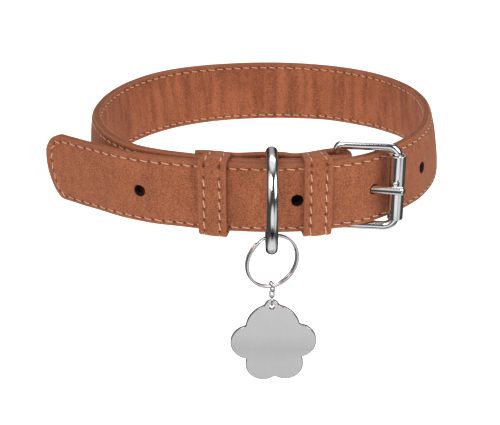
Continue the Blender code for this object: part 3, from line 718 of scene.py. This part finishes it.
def strap_layer(name, outer):
    """One leather layer: a face with rounded edges and drawn-in stitches, and a plain back."""
    places = strap_stations()[:, None]
    shares = across_shares()[None, :]
    lower, upper = strap_edges(places)
    heights = lower + (upper - lower) * shares
    grid_places = np.broadcast_to(places, heights.shape)
    edge_gap = np.minimum(heights - lower, upper - heights)
    edge_gap = np.minimum(edge_gap, np.maximum(STRAP.length - grid_places, 0))
    edge_gap = np.minimum(edge_gap, grid_places)
    radius = LEATHER_EDGE if outer else LINING_EDGE
    surface = face_height(grid_places, heights, outer) - edge_curve(edge_gap, radius)
    puncture_gap = distances_to(PUNCTURE_TREE, grid_places, heights)
    surface = surface - stitch_relief(distances_to(ROW_TREE, grid_places, heights), puncture_gap)
    thickness = LEATHER if outer else LINING
    back = HALF - thickness - (STRAP_THICKNESS - LEATHER - LINING - LAYER_SEAM) / 2
    surface = np.maximum(surface, back + LEAST_LAYER)
    sign = 1 if outer else -1
    face = strap_points(grid_places, sign * surface, heights)
    back_count = 5
    back_shares = np.linspace(1, 0, back_count)[None, :]
    crease = np.array(EDGE_CREASE)[None, :]
    sink = np.array((0, CREASE_DEPTH, 0, CREASE_DEPTH, 0))[None, :]
    back_heights = np.concatenate([upper - sink, lower + (upper - lower) * back_shares, lower + sink], 1)
    back_outs = np.concatenate(
        [
            back + (surface[:, -1:] - back) * crease,
            np.full((len(places), back_count), back),
            back + (surface[:, :1] - back) * crease[:, ::-1],
        ],
        1,
    )
    back_places = np.broadcast_to(places, back_heights.shape)
    rear = strap_points(back_places, sign * back_outs, back_heights)
    finish = COGNAC if outer else COGNAC_LINING
    made = grid_object(name, np.concatenate([face, rear], 1), [finish, HOLE_WALL])
    worn = np.exp(-((edge_gap / WORN_REACH) ** 2))
    add_shares(made, "edge", np.concatenate([worn, np.full(back_heights.shape, SIDE_WEAR)], 1))
    # Painted shade: the face is darkened round each stitch hole, where shade falls
    painted_shade_marks = np.exp(-((puncture_gap / PUNCTURE_SHADE_WIDTH) ** 2))
    # Painted shade along the two grooves beside the back's edges
    groove_shade_lines = sink[0] / CREASE_DEPTH * CREASE_SHADE
    back_groove_shade = np.concatenate([groove_shade_lines, np.zeros(back_count), groove_shade_lines])
    add_shares(made, "painted_shade", np.concatenate([painted_shade_marks, np.broadcast_to(back_groove_shade, back_heights.shape)], 1))
    return made


def applied(made, cutters):
    """The object with these cut away and their walls in the cutter's material."""
    for cutter in cutters:
        boolean = made.modifiers.new(cutter.name, "BOOLEAN")
        boolean.operation = "DIFFERENCE"
        boolean.solver = "EXACT"
        boolean.material_mode = "TRANSFER"
        boolean.object = cutter
    bpy.context.view_layer.update()
    graph = bpy.context.evaluated_depsgraph_get()
    mesh = bpy.data.meshes.new_from_object(
        made.evaluated_get(graph), preserve_all_data_layers=True, depsgraph=graph
    )
    made.modifiers.clear()
    made.data = mesh
    return made


def cylinder(name, middle, way, diameter, length):
    """A round cutter."""
    way = np.asarray(way) / np.linalg.norm(way)
    side = np.cross(way, UP)
    side = side / np.linalg.norm(side)
    upward = np.cross(side, way)
    turn = np.linspace(0, 2 * math.pi, 40, endpoint=False)[:, None]
    ring = diameter / 2 * (np.cos(turn) * side + np.sin(turn) * upward)
    rings = np.stack([middle + end * way + ring for end in (-length / 2, length / 2)])
    return grid_object(name, rings, [HOLE_WALL])


SQUARE = ((-1, -1), (1, -1), (1, 1), (-1, 1))


def flat(point, height=0.0):
    return np.array((point[0], point[1], height))


def in_buckle(point):
    """A point seen from above, as (along the buckle, out from the plane of its bars)."""
    return np.array(((point - HEEL) @ BUCKLE_ALONG, (point - HEEL) @ BUCKLE_OUT))


def arc(centre, radius, start, end, steps):
    turn = np.radians(np.linspace(start, end, steps + 1))
    return np.stack([centre[0] + radius * np.cos(turn), centre[1] + radius * np.sin(turn)], -1)


PRONG_RADIUS = PRONG_WIRE / 2
PRONG_LOOP = FRAME_WIRE / 2 + CLEARANCE + PRONG_RADIUS
hole_point = STRAP.at(PRONG_HOLE)[0]
hole_in_buckle = in_buckle(hole_point)
to_roller = np.array((BAR_SPACING, 0)) - hole_in_buckle
over_roller = ROLLER_DIAMETER / 2 + CLEARANCE + PRONG_RADIUS
rise_angle = math.atan2(to_roller[1], to_roller[0]) + math.asin(over_roller / np.linalg.norm(to_roller))
PRONG_RISE = np.array((math.cos(rise_angle), math.sin(rise_angle)))
prong_reach = math.sqrt(to_roller @ to_roller - over_roller**2) + PRONG_OVERHANG
lift = math.radians(PRONG_LIFT)
PRONG_ACROSS = math.cos(lift) * flat(BUCKLE_ALONG) + math.sin(lift) * UP
PRONG_OUT = flat(BUCKLE_OUT)
PRONG_WAY = PRONG_RISE[0] * PRONG_ACROSS + PRONG_RISE[1] * PRONG_OUT
PRONG_FOOT = flat(HEEL, PRONG_HEIGHT)
PRONG_HOLE_MIDDLE = PRONG_FOOT + hole_in_buckle[0] * PRONG_ACROSS + hole_in_buckle[1] * PRONG_OUT


def hole_cutters():
    """The prong's hole, the other holes, and the slot that lets the prong's loop reach the heel bar."""
    bore = PRONG_WIRE + 2 * PRONG_HOLE_GAP
    cutters = [cylinder("cut_prong_hole", PRONG_HOLE_MIDDLE, PRONG_WAY, bore, 2 * STRAP_THICKNESS)]
    for number, share in enumerate(HOLES):
        middle, _, side, _ = STRAP.at(PRONG_HOLE + share * HOLE_PITCH)
        length = STRAP_THICKNESS + PASS_GAP + HOLE_SINK + 2 * FACE_CROWN
        middle = flat(middle + (FACE_CROWN - HOLE_SINK / 2) * side, HOLE_HEIGHT)
        cutters.append(cylinder("cut_hole_%d" % number, middle, flat(side), HOLE_DIAMETER, length))
    fold_outer = FRAME_WIRE / 2 + CLEARANCE + STRAP_THICKNESS
    length = SLOT_REACH + fold_outer + PASS_GAP / 2
    along, out = flat(polar(HEEL_ANGLE + 90, 1)), flat(polar(HEEL_ANGLE, 1))
    slot_height = PRONG_HEIGHT + SLOT_REACH / 4 * math.sin(lift)
    middle = flat(HEEL, slot_height) + (length / 2 - SLOT_REACH) * along - PASS_GAP / 4 * out
    depth = 2 * fold_outer + 1.5 * PASS_GAP
    corners = np.array([a * depth / 2 * out + b * SLOT_HEIGHT / 2 * UP for a, b in SQUARE])
    rings = np.stack([middle + end * along + corners for end in (-length / 2, length / 2)])
    cutters.append(grid_object("cut_slot", rings, [HOLE_WALL]))
    return cutters


# Thread


def stitch_mesh(name, stitches):
    """All stitches as one mesh: each a short wire whose ends dive into the leather.
    A stitch is (points, sideways directions, upward directions), each an array of (steps, 3)."""
    sides = 7
    turn = np.linspace(0, 2 * math.pi, sides, endpoint=False)
    vertices, faces = [], []
    for points, side, out in stitches:
        steps = len(points)
        base = len(vertices)
        swell = np.sin(np.linspace(0.25, math.pi - 0.25, steps)) ** 0.35
        for index in range(steps):
            radius = THREAD_RADIUS * swell[index]
            ring = points[index] + radius * (
                1.12 * np.cos(turn)[:, None] * side[index] + 0.85 * np.sin(turn)[:, None] * out[index]
            )
            vertices.extend(ring.tolist())
        for index in range(steps - 1):
            low, high = base + index * sides, base + (index + 1) * sides
            for column in range(sides):
                beside = (column + 1) % sides
                faces.append((low + column, low + beside, high + beside, high + column))
        faces.append(tuple(range(base + sides - 1, base - 1, -1)))
        faces.append(tuple(range(base + (steps - 1) * sides, base + steps * sides)))
    mesh = bpy.data.meshes.new(name)
    mesh.from_pydata(vertices, [], faces)
    return finish_mesh(name, mesh, [THREAD])


STITCH_LIFTS = np.array((-0.42, -0.16, 0.06, 0.15, 0.18, 0.18, 0.15, 0.06, -0.16, -0.42)) * MM
STITCH_SHARES = np.array((-0.5, -0.475, -0.40, -0.28, -0.1, 0.1, 0.28, 0.40, 0.475, 0.5))


def stitch(points, out):
    """One stitch for stitch_mesh, from its points and the ways out of the leather."""
    tangent = unit(np.gradient(points, axis=0))
    sideways = unit(np.cross(tangent, out))
    return points, sideways, np.cross(sideways, tangent)


def strap_stitches(outer):
    """Stitches of the strap's row on one face."""
    stitches = []
    middles = PUNCTURES[:-1] + (PUNCTURES[1:] - PUNCTURES[:-1]) / 2
    sign = 1 if outer else -1
    for middle, way in zip(middles, ROW_WAYS[:-1]):
        across = np.array((-way[1], way[0]))
        slant = STITCH_SLANT * sign
        offsets = STITCH_SHARES[:, None] * (STITCH_LENGTH * way + 2 * slant * across)
        flat_points = middle + offsets
        places, heights = flat_points[:, 0], flat_points[:, 1]
        surface = face_height(places, heights, outer) - GROOVE_DEPTH + STITCH_LIFTS
        _, _, side, _ = STRAP.at(places)
        out = np.concatenate([side * sign, np.zeros((len(places), 1))], 1)
        stitches.append(stitch(strap_points(places, sign * surface, heights), out))
    return stitches


# Keepers


def keeper_line(flare):
    """The keeper's inner outline round the strap, as (out, height) points and their outward normals."""
    inner_back = -HALF - CLEARANCE
    inner_front = HALF + PASS_STEP + flare + CLEARANCE
    inner_half = HALF_WIDTH + CLEARANCE
    line = []
    corners = (
        (inner_front - KEEPER_CORNER, inner_half - KEEPER_CORNER, 0),
        (inner_back + KEEPER_CORNER, inner_half - KEEPER_CORNER, 90),
        (inner_back + KEEPER_CORNER, KEEPER_CORNER - inner_half, 180),
        (inner_front - KEEPER_CORNER, KEEPER_CORNER - inner_half, 270),
    )
    for index, (out, height, start) in enumerate(corners):
        for step in range(9):
            turn = math.radians(start + 90 * step / 8)
            normal = np.array((math.cos(turn), math.sin(turn)))
            line.append((np.array((out, height)) + KEEPER_CORNER * normal, normal))
        after = corners[(index + 1) % 4]
        normal = np.array((math.cos(math.radians(after[2])), math.sin(math.radians(after[2]))))
        begin = np.array((out, height)) + KEEPER_CORNER * normal
        end = np.array(after[:2]) + KEEPER_CORNER * normal
        count = max(3, int(np.linalg.norm(end - begin) / (0.45 * MM)))
        for step in range(1, count):
            line.append((begin + (end - begin) * step / count, normal))
    return np.array([spot for spot, _ in line]), np.array([normal for _, normal in line])


def keeper_stitches(middle, spots, normals, length):
    stitches = []
    for row_shift in (-KEEPER_ROW, KEEPER_ROW):
        for number in range(int(length[-1] // STITCH_PITCH)):
            places = (number + 0.5) * STITCH_PITCH + STITCH_SHARES * STITCH_LENGTH
            spot = along_line(places, length, spots)
            normal = unit(along_line(places, length, normals))
            lifts = KEEPER_THICKNESS + 0.06 * MM - GROOVE_DEPTH + STITCH_LIFTS
            ring = spot + lifts[:, None] * normal
            shift = middle + row_shift + STITCH_SHARES * 2 * STITCH_SLANT
            points = strap_points(shift, ring[:, 0], ring[:, 1])
            further = strap_points(shift, ring[:, 0] + normal[:, 0] * MM, ring[:, 1] + normal[:, 1] * MM)
            stitches.append(stitch(points, unit(further - points)))
    return stitches


def keeper(name, angle):
    """A leather loop round both passes of the strap. Returns it and its two upright rows of stitches."""
    middle = STRAP.nearest(polar(angle, loop_face(angle) + HALF), FOLD_END, SECOND_PASS)
    travel = 360 - angle
    flare = max(smooth_rows(OVER, travel)[1], smooth_rows(OVER, travel + 4)[1]) * TIP_FLARE
    spots, normals = keeper_line(flare)
    length = run_lengths(spots)
    half = KEEPER_WIDTH / 2
    rim = np.array((0, 0.07, 0.18, 0.34, 0.55, 0.8)) * MM
    row = half - KEEPER_ROW + np.array((-0.7, -0.4, -0.18, 0.0, 0.18, 0.4, 0.7)) * MM
    near = np.concatenate([rim, row[row > rim[-1] + 0.05 * MM]])
    shifts = np.concatenate([near - half, np.linspace(near[-1] - half, 0, 5)[1:]])
    shifts = np.concatenate([shifts, -shifts[:-1][::-1]])
    row_gap = np.minimum(np.abs(shifts - KEEPER_ROW), np.abs(shifts + KEEPER_ROW))
    phase = np.abs((length / STITCH_PITCH + 0.5) % 1 - 0.5) * STITCH_PITCH
    gap_grid = np.broadcast_to(row_gap[None, :], (len(spots), len(shifts)))
    holes = np.hypot(gap_grid, phase[:, None])
    bulge = 0.12 * MM * (1 - (shifts / half) ** 2)[None, :]
    uneven = 0.05 * MM * ripples(shifts[None, :] / (4 * MM), length[:, None] / (5 * MM), 21)
    thick = KEEPER_THICKNESS + bulge + uneven - edge_curve(half - np.abs(shifts), 0.4 * MM)[None, :]
    thick = thick - stitch_relief(gap_grid, holes)
    rings = []
    for index in range(len(spots)):
        outer = spots[index] + thick[index][:, None] * normals[index]
        inner = np.repeat(spots[index][None, :], 4, 0) + 0.02 * MM * normals[index]
        inner_shifts = np.linspace(half - 0.1 * MM, 0.1 * MM - half, 4)
        ring = np.concatenate([outer, inner])
        ring_shifts = np.concatenate([shifts, inner_shifts])
        rings.append(strap_points(middle + ring_shifts, ring[:, 0], ring[:, 1]))
    made = grid_object(name, np.array(rings), [COGNAC], closed=True)
    worn = np.exp(-(((half - np.abs(shifts)) / (0.35 * MM)) ** 2))
    values = np.tile(np.concatenate([worn, np.full(4, 0.3)]), len(spots))
    add_shares(made, "edge", values)
    # Painted shade: the keeper is darkened round each stitch hole, where shade falls
    painted_shade_marks = np.exp(-((holes / PUNCTURE_SHADE_WIDTH) ** 2))
    add_shares(made, "painted_shade", np.concatenate([painted_shade_marks, np.zeros((len(spots), 4))], 1))
    return made, keeper_stitches(middle, spots, normals, length)


# Metal


def tube(name, points, radius, sides, base, across, upward, closed, finish, squash=1.0):
    """A wire along (across, upward) points in one plane; radius is one value or one for each point."""
    points = np.asarray(points)
    count = len(points)
    radii = np.broadcast_to(radius, (count,))
    if closed:
        way = np.roll(points, -1, 0) - np.roll(points, 1, 0)
    else:
        way = np.gradient(points, axis=0)
    way = unit(way)
    normal = np.cross(across, upward)
    side = -way[:, 1:] * across + way[:, :1] * upward
    middle = base + points[:, :1] * across + points[:, 1:] * upward
    turn = np.linspace(0, 2 * math.pi, sides, endpoint=False)[None, :, None]
    rings = middle[:, None, :] + radii[:, None, None] * (
        np.cos(turn) * side[:, None, :] + squash * np.sin(turn) * normal
    )
    return grid_object(name, rings, [finish], closed)


def rounded_frame(low_corner, high_corner, half):
    """The buckle frame's centreline: heel bar at 0, roller bar at BAR_SPACING."""
    far = BAR_SPACING - high_corner
    parts = [
        arc((low_corner, low_corner - half), low_corner, 180, 270, 12),
        arc((far, high_corner - half), high_corner, 270, 360, 16),
        arc((far, half - high_corner), high_corner, 0, 90, 16),
        arc((low_corner, half - low_corner), low_corner, 90, 180, 12),
    ]
    return resampled(np.vstack(parts), 0.5 * MM)


def resampled(points, step):
    """The closed line with further points on its long straight stretches."""
    found = []
    for index, point in enumerate(points):
        after = points[(index + 1) % len(points)]
        count = max(1, int(np.linalg.norm(after - point) / step))
        for part in range(count):
            found.append(point + (after - point) * part / count)
    return np.array(found)


def buckle_frame():
    half = HALF_WIDTH + FRAME_SIDE_GAP + FRAME_WIRE / 2
    line = rounded_frame(HEEL_CORNER, ROLLER_CORNER, half)
    middle, along = flat(HEEL, BUCKLE_RISE), flat(BUCKLE_ALONG)
    return tube("frame_bar", line, FRAME_WIRE / 2, 32, middle, along, UP, True, CHROME)


def buckle_roller():
    """A tube of rolled sheet with a narrow open seam along it."""
    near = FRAME_WIRE / 2 + ROLLER_BORE_GAP + ROLLER_ROUND
    far = ROLLER_DIAMETER / 2 - ROLLER_ROUND
    top = ROLLER_LENGTH / 2 - ROLLER_ROUND
    corners = ((near, -top, 180), (far, -top, 270), (far, top, 0), (near, top, 90))
    line = np.vstack([arc(corner[:2], ROLLER_ROUND, corner[2], corner[2] + 90, 4) for corner in corners])
    reach, height = line[:, 0], line[:, 1] + BUCKLE_RISE
    first = ROLLER_SEAM_ANGLE + ROLLER_SEAM_OPEN
    rings = []
    for turn in np.radians(np.linspace(first, first + 360 - 2 * ROLLER_SEAM_OPEN, 72)):
        x, y = ROLLER_BAR[0] + reach * math.cos(turn), ROLLER_BAR[1] + reach * math.sin(turn)
        rings.append(np.stack([x, y, height], -1))
    return grid_object("roller_tube", np.array(rings), [CHROME])


def cross(first, second):
    return first[0] * second[1] - first[1] * second[0]


def buckle_prong():
    dip_angle = math.radians(-PRONG_DIP)
    dip = np.array((math.cos(dip_angle), math.sin(dip_angle)))
    dip_start = PRONG_LOOP * np.array((-dip[1], dip[0]))
    to_hole = hole_in_buckle - dip_start
    corner = dip_start + cross(to_hole, PRONG_RISE) / cross(dip, PRONG_RISE) * dip
    back = PRONG_BEND * math.tan((rise_angle - dip_angle) / 2)
    bend_middle = corner - back * dip + PRONG_BEND * np.array((-dip[1], dip[0]))
    loop = arc((0, 0), PRONG_LOOP, 90 - PRONG_DIP + 360 - PRONG_LOOP_OPEN, 90 - PRONG_DIP, 40)
    bend = arc(bend_middle, PRONG_BEND, -90 - PRONG_DIP, -90 + math.degrees(rise_angle), 16)
    end = hole_in_buckle + prong_reach * PRONG_RISE
    straight = np.linspace(bend[-1], end, 40)[1:]
    line = np.vstack([loop, bend, straight])
    radii = PRONG_RADIUS - edge_curve(np.linalg.norm(line - end, axis=1), PRONG_END_ROUND)
    return tube("prong_wire", line, radii, 28, PRONG_FOOT, PRONG_ACROSS, PRONG_OUT, False, CHROME)


D_RADIUS = (D_INNER_HEIGHT + D_WIRE) / 2
D_TOP = D_LIFT + HALF_WIDTH + CLEARANCE + D_WIRE / 2
D_BAR = polar(D_ANGLE, loop_face(D_ANGLE) - CLEARANCE - D_WIRE / 2)
D_OUT = polar(D_ANGLE + D_TURN, 1)


def d_ring():
    turn = np.radians(np.linspace(-90, 90, 72))
    bow = np.stack([D_ARM + D_BOW * np.cos(turn), D_RADIUS * np.sin(turn)], -1)
    parts = [
        arc((D_CORNER, D_CORNER - D_RADIUS), D_CORNER, 180, 270, 14),
        bow,
        arc((D_CORNER, D_RADIUS - D_CORNER), D_CORNER, 90, 180, 14),
    ]
    line = resampled(np.vstack(parts), 0.5 * MM)
    middle = flat(D_BAR, D_TOP - D_RADIUS)
    return tube("d_ring_bar", line, D_WIRE / 2, 40, middle, flat(D_OUT), UP, True, CHROME, D_WIDTH / D_WIRE)


ARM_POINT = D_BAR + RING_REACH * D_OUT
ARM_HEIGHT = D_TOP - 2 * D_RADIUS
RING_RADIUS = (RING_DIAMETER - RING_RADIAL) / 2
RING_HEIGHT = ARM_HEIGHT + D_WIRE / 2 + RING_REST - (RING_DIAMETER / 2 - RING_RADIAL)
RING_CENTRE = flat(ARM_POINT + (RING_ASIDE, 0), RING_HEIGHT)


def level(yaw):
    return flat(polar(yaw, 1))


def split_ring():
    """Two flat coils of one wire, side by side, with a step where one crosses to the other."""
    across, axis = level(RING_YAW), level(RING_YAW - 90)
    turns = np.radians(np.linspace(COIL_START + 6, COIL_START + 714, 420))
    degrees = np.degrees(turns) - COIL_START
    coil = RING_DEPTH / 4
    step = np.clip((degrees - 338) / 44, 0, 1)
    step = step**2 * (3 - 2 * step)
    depth = -coil + 2 * coil * step
    thick, high = RING_DEPTH / 4 - COIL_GAP, RING_RADIAL / 2
    turn = np.linspace(0, 2 * math.pi, 20, endpoint=False)
    lobe_out = np.sign(np.cos(turn)) * np.abs(np.cos(turn)) ** 0.55
    lobe_axis = np.sign(np.sin(turn)) * np.abs(np.sin(turn)) ** 0.55
    ends = np.minimum(degrees - degrees[0], degrees[-1] - degrees)
    taper = np.clip(ends / 5, 0.35, 1)
    rings = []
    for index, angle in enumerate(turns):
        spoke = math.cos(angle) * across + math.sin(angle) * UP
        centre = RING_CENTRE + RING_RADIUS * spoke + depth[index] * axis
        size = taper[index]
        rings.append(
            centre + size * high * lobe_out[:, None] * spoke + size * thick * lobe_axis[:, None] * axis
        )
    return grid_object("split_ring", np.array(rings), [RING_STEEL])


HANG = flat(RING_CENTRE)
RING_LOW = RING_HEIGHT - RING_RADIUS
UPPER_HEIGHT = RING_LOW - LINK_DROP
EYE_TOP = UPPER_HEIGHT - LINK_BORE / 2 + LINK_REST + LINK_WIRE
EYE_HEIGHT = EYE_TOP - LINK_WIRE - EYE_LENGTH / 2
LOWER_TOP = EYE_HEIGHT - EYE_LENGTH / 2 + LINK_REST + LINK_WIRE
LOWER_HEIGHT = LOWER_TOP - LINK_WIRE - LINK_BORE / 2


def link(name, height, across, width, length):
    radius = (width + LINK_WIRE) / 2
    straight = (length - width) / 2
    line = np.vstack([arc((0, straight), radius, 0, 180, 24), arc((0, -straight), radius, 180, 360, 24)])
    if straight == 0:
        line = arc((0, 0), radius, 0, 360, 48)[:-1]
    return tube(name, line, LINK_WIRE / 2, 14, HANG + height * UP, across, UP, True, RING_STEEL)


HOLE_TOP = LOWER_HEIGHT - math.sqrt((LINK_BORE / 2) ** 2 - (TAG_THICKNESS / 2) ** 2) + LINK_REST
HOLE_CENTRE = HANG + (HOLE_TOP - TAG_HOLE / 2) * UP
LOBES = (
    ((0, TAG_LUG_HEIGHT), TAG_LUG_RADIUS),
    ((0, TAG_TOP_HEIGHT), TAG_TOP_RADIUS),
    ((-TAG_SIDE_SPREAD, TAG_SIDE_HEIGHT), TAG_SIDE_RADIUS),
    ((-TAG_TOE_SPREAD, -TAG_TOE_DROP), TAG_TOE_RADIUS),
    ((TAG_TOE_SPREAD, -TAG_TOE_DROP), TAG_TOE_RADIUS),
    ((TAG_SIDE_SPREAD, TAG_SIDE_HEIGHT), TAG_SIDE_RADIUS),
    ((0, TAG_TOP_HEIGHT), TAG_TOP_RADIUS),
)


def outer_crossing(first, second):
    """The crossing of two circles on the outer side of the line from the first to the next anticlockwise."""
    start, end = np.array(first[0], float), np.array(second[0], float)
    apart = np.linalg.norm(end - start)
    along = (apart**2 + first[1] ** 2 - second[1] ** 2) / (2 * apart)
    aside = math.sqrt(max(first[1] ** 2 - along**2, 0))
    way = (end - start) / apart
    return start + along * way + aside * np.array((way[1], -way[0]))


def lobed_outline():
    """The outline round the lobes, anticlockwise."""
    outline = []
    for index, (middle, radius) in enumerate(LOBES):
        entry = outer_crossing(LOBES[index - 1], LOBES[index]) - np.array(middle)
        leave = outer_crossing(LOBES[index], LOBES[(index + 1) % len(LOBES)]) - np.array(middle)
        start = math.degrees(math.atan2(entry[1], entry[0]))
        sweep = (math.degrees(math.atan2(leave[1], leave[0])) - start) % 360
        steps = max(6, round(math.radians(sweep) * radius / (0.3 * MM)))
        outline.extend(arc(middle, radius, start, start + sweep, steps)[:-1].tolist())
    return np.array(outline)


def paw_tag():
    """The blank tag: a polished rounded rim round a flat brushed face, with a hole in its lug."""
    outline = lobed_outline()
    for _ in range(3):
        outline = 0.5 * outline + 0.25 * (np.roll(outline, 1, 0) + np.roll(outline, -1, 0))
    way = unit(np.roll(outline, -1, 0) - np.roll(outline, 1, 0))
    inward = np.stack([-way[:, 1], way[:, 0]], -1)
    roll = math.radians(TAG_ROLL)
    across = math.cos(roll) * level(0) + math.sin(roll) * UP
    upward = math.cos(roll) * UP - math.sin(roll) * level(0)
    flat_depth = TAG_THICKNESS / 2 - TAG_BEVEL
    rings = []
    for depth_sign, turns in ((1, np.linspace(90, 0, 7)), (-1, np.linspace(0, 90, 7))):
        for turn in np.radians(turns):
            depth = depth_sign * (flat_depth + TAG_BEVEL * math.sin(turn))
            spot = outline + TAG_BEVEL * (1 - math.cos(turn)) * inward
            rings.append(
                HOLE_CENTRE
                + spot[:, :1] * across
                + (spot[:, 1:] - TAG_LUG_HEIGHT) * upward
                + depth * level(90)
            )
    made = grid_object("tag_plate", np.array(rings), [TAG_STEEL, TAG_RIM], smooth_angle=35)
    for index, polygon in enumerate(made.data.polygons):
        polygon.material_index = 0 if index >= len(made.data.polygons) - 2 else 1
    cutter = cylinder("cut_tag_hole", HOLE_CENTRE, level(-90), TAG_HOLE, 2 * TAG_THICKNESS)
    cutter.data.materials.clear()
    cutter.data.materials.append(TAG_RIM)
    applied(made, [cutter])
    bpy.data.objects.remove(cutter)
    for polygon in made.data.polygons:
        polygon.use_smooth = polygon.material_index > 0
    return made


def place_piece(made, body, slot, *nodes):
    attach(made, body)
    if nodes:
        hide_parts(*nodes)
    return made


def build_collar():
    outer = strap_layer("strap_outside", True)
    inner = strap_layer("strap_inside", False)
    cutters = hole_cutters()
    for layer in (outer, inner):
        applied(layer, cutters)
    for cutter in cutters:
        bpy.data.objects.remove(cutter)
    place_piece(outer, "collar", "strap_leather", "strap_leather")
    place_piece(inner, "collar", "strap_lining", "strap_lining")
    for side, angle in (("left", KEEPER_LEFT_ANGLE), ("right", KEEPER_RIGHT_ANGLE)):
        made, stitches = keeper("keeper_loop_" + side, angle)
        place_piece(made, "collar", "strap_leather", "keeper_" + side)
        place_piece(stitch_mesh("keeper_thread_" + side, stitches), "collar", "strap_leather")
    place_piece(stitch_mesh("thread_outside", strap_stitches(True)), "collar", "strap_leather")
    place_piece(stitch_mesh("thread_inside", strap_stitches(False)), "collar", "strap_lining")


def build_metal():
    place_piece(buckle_frame(), "collar", "chrome", "buckle_frame")
    place_piece(buckle_prong(), "collar", "chrome", "buckle_prong")
    place_piece(buckle_roller(), "roller", "chrome", "buckle_roller")
    place_piece(d_ring(), "d_ring", "chrome", "d_ring")
    place_piece(split_ring(), "tag_ring", "tag_steel", "tag_ring")
    upper = link("link_upper", UPPER_HEIGHT, level(RING_YAW - 90), LINK_BORE, LINK_BORE)
    eye = link("link_middle", EYE_HEIGHT, level(RING_YAW / 2), EYE_WIDTH, EYE_LENGTH)
    lower = link("link_lower", LOWER_HEIGHT, level(-90), LINK_BORE, LINK_BORE)
    for made, place in ((upper, "upper"), (eye, "middle"), (lower, "lower")):
        place_piece(made, "tag", "tag_steel", "tag_link_" + place)
    place_piece(paw_tag(), "tag", "tag_steel", "paw_tag")


# Studio


def area_light(name, place, target, size, power):
    light = bpy.data.lights.new(name, "AREA")
    light.shape = "RECTANGLE"
    light.size, light.size_y = size
    light.energy = power
    made = bpy.data.objects.new(name, light)
    bpy.context.scene.collection.objects.link(made)
    made.location = place
    made.rotation_euler = (Vector(target) - Vector(place)).to_track_quat("-Z", "Y").to_euler()


def studio_world():
    """A grey room with a softbox overhead, a pale table in front, and dark behind and below."""
    world = bpy.data.worlds.new("studio")
    bpy.context.scene.world = world
    world.use_nodes = True
    tree = world.node_tree
    place = tree.nodes.new("ShaderNodeTexCoord").outputs["Generated"]

    def glow(direction, inner, outer, low, high):
        """A round soft patch of the sky: high within the inner angle, low outside the outer one."""
        aim = tree.nodes.new("ShaderNodeVectorMath")
        aim.operation = "DOT_PRODUCT"
        aim.inputs[1].default_value = Vector(direction).normalized()
        tree.links.new(place, aim.inputs[0])
        patch = tree.nodes.new("ShaderNodeMapRange")
        patch.interpolation_type = "SMOOTHSTEP"
        settings = {
            "From Min": math.cos(math.radians(outer)),
            "From Max": math.cos(math.radians(inner)),
            "To Min": low,
            "To Max": high,
        }
        for key, value in settings.items():
            patch.inputs[key].default_value = value
        tree.links.new(aim.outputs["Value"], patch.inputs["Value"])
        return patch.outputs[0]

    def joined(operation, first, second):
        node = tree.nodes.new("ShaderNodeMath")
        node.operation = operation
        tree.links.new(first, node.inputs[0])
        tree.links.new(second, node.inputs[1])
        return node.outputs[0]

    light = glow((0, 0.30, 0.95), 18, 46, 0.07, 1.0)
    for direction, inner, outer, value in (
        ((0, -0.92, -0.39), 13, 30, 0.9),
        ((0, 0.1, -1), 18, 44, 0.8),
        ((0.7, -0.6, -0.39), 8, 26, 0.7),
        ((0, 0.90, 0.43), 6, 22, 0.5),
        ((-0.75, -0.45, 0.5), 14, 34, 0.7),
        ((0.8, -0.35, 0.45), 12, 30, 0.4),
    ):
        light = joined("ADD", light, glow(direction, inner, outer, 0, value))
    light = joined("MULTIPLY", light, glow((0, 0.93, -0.34), 26, 46, 1, 0.1))
    light = joined("MULTIPLY", light, glow((0, -0.62, -0.78), 8, 20, 1, 0.12))
    tree.links.new(light, tree.nodes["Background"].inputs[0])


def floor():
    """A wide pale floor well below the tag."""
    mesh = bpy.data.meshes.new("floor")
    reach, height = 6.0, -0.30
    mesh.from_pydata([(x * reach, y * reach, height) for x, y in SQUARE], [], [(0, 1, 2, 3)])
    nodes = Nodes("pale_floor")
    tone = nodes.mix(nodes.noise(3, 2), (0.90, 0.90, 0.90, 1), (0.93, 0.93, 0.93, 1))
    mesh.materials.append(
        nodes.finish(Base_Color=tone, Roughness=0.9, Emission_Color=(1, 1, 1, 1), Emission_Strength=0.85)
    )
    made = bpy.data.objects.new("floor", mesh)
    bpy.context.scene.collection.objects.link(made)
    made.visible_glossy = False


def camera():
    view = bpy.data.cameras.new("camera")
    view.lens = FOCAL_PIXELS / PHOTO_WIDTH * SENSOR_WIDTH
    view.sensor_width = SENSOR_WIDTH
    made = bpy.data.objects.new("camera", view)
    bpy.context.scene.collection.objects.link(made)
    made.location = CAMERA_PLACE
    made.rotation_euler = (math.pi / 2 - math.radians(CAMERA_DOWN), 0, 0)
    bpy.context.scene.camera = made


build_collar()
build_metal()
studio_world()
area_light("key", (-0.35, -0.65, 0.65), (0, 0, 0), (0.6, 0.5), 3.9)
area_light("fill", (0.6, -0.45, 0.35), (0, 0, 0), (0.5, 0.5), 2.6)
area_light("back", (0.1, 0.45, 0.75), (0, 0, 0), (0.8, 0.4), 2)
floor()
camera()
bpy.context.scene.view_settings.view_transform = "Standard"
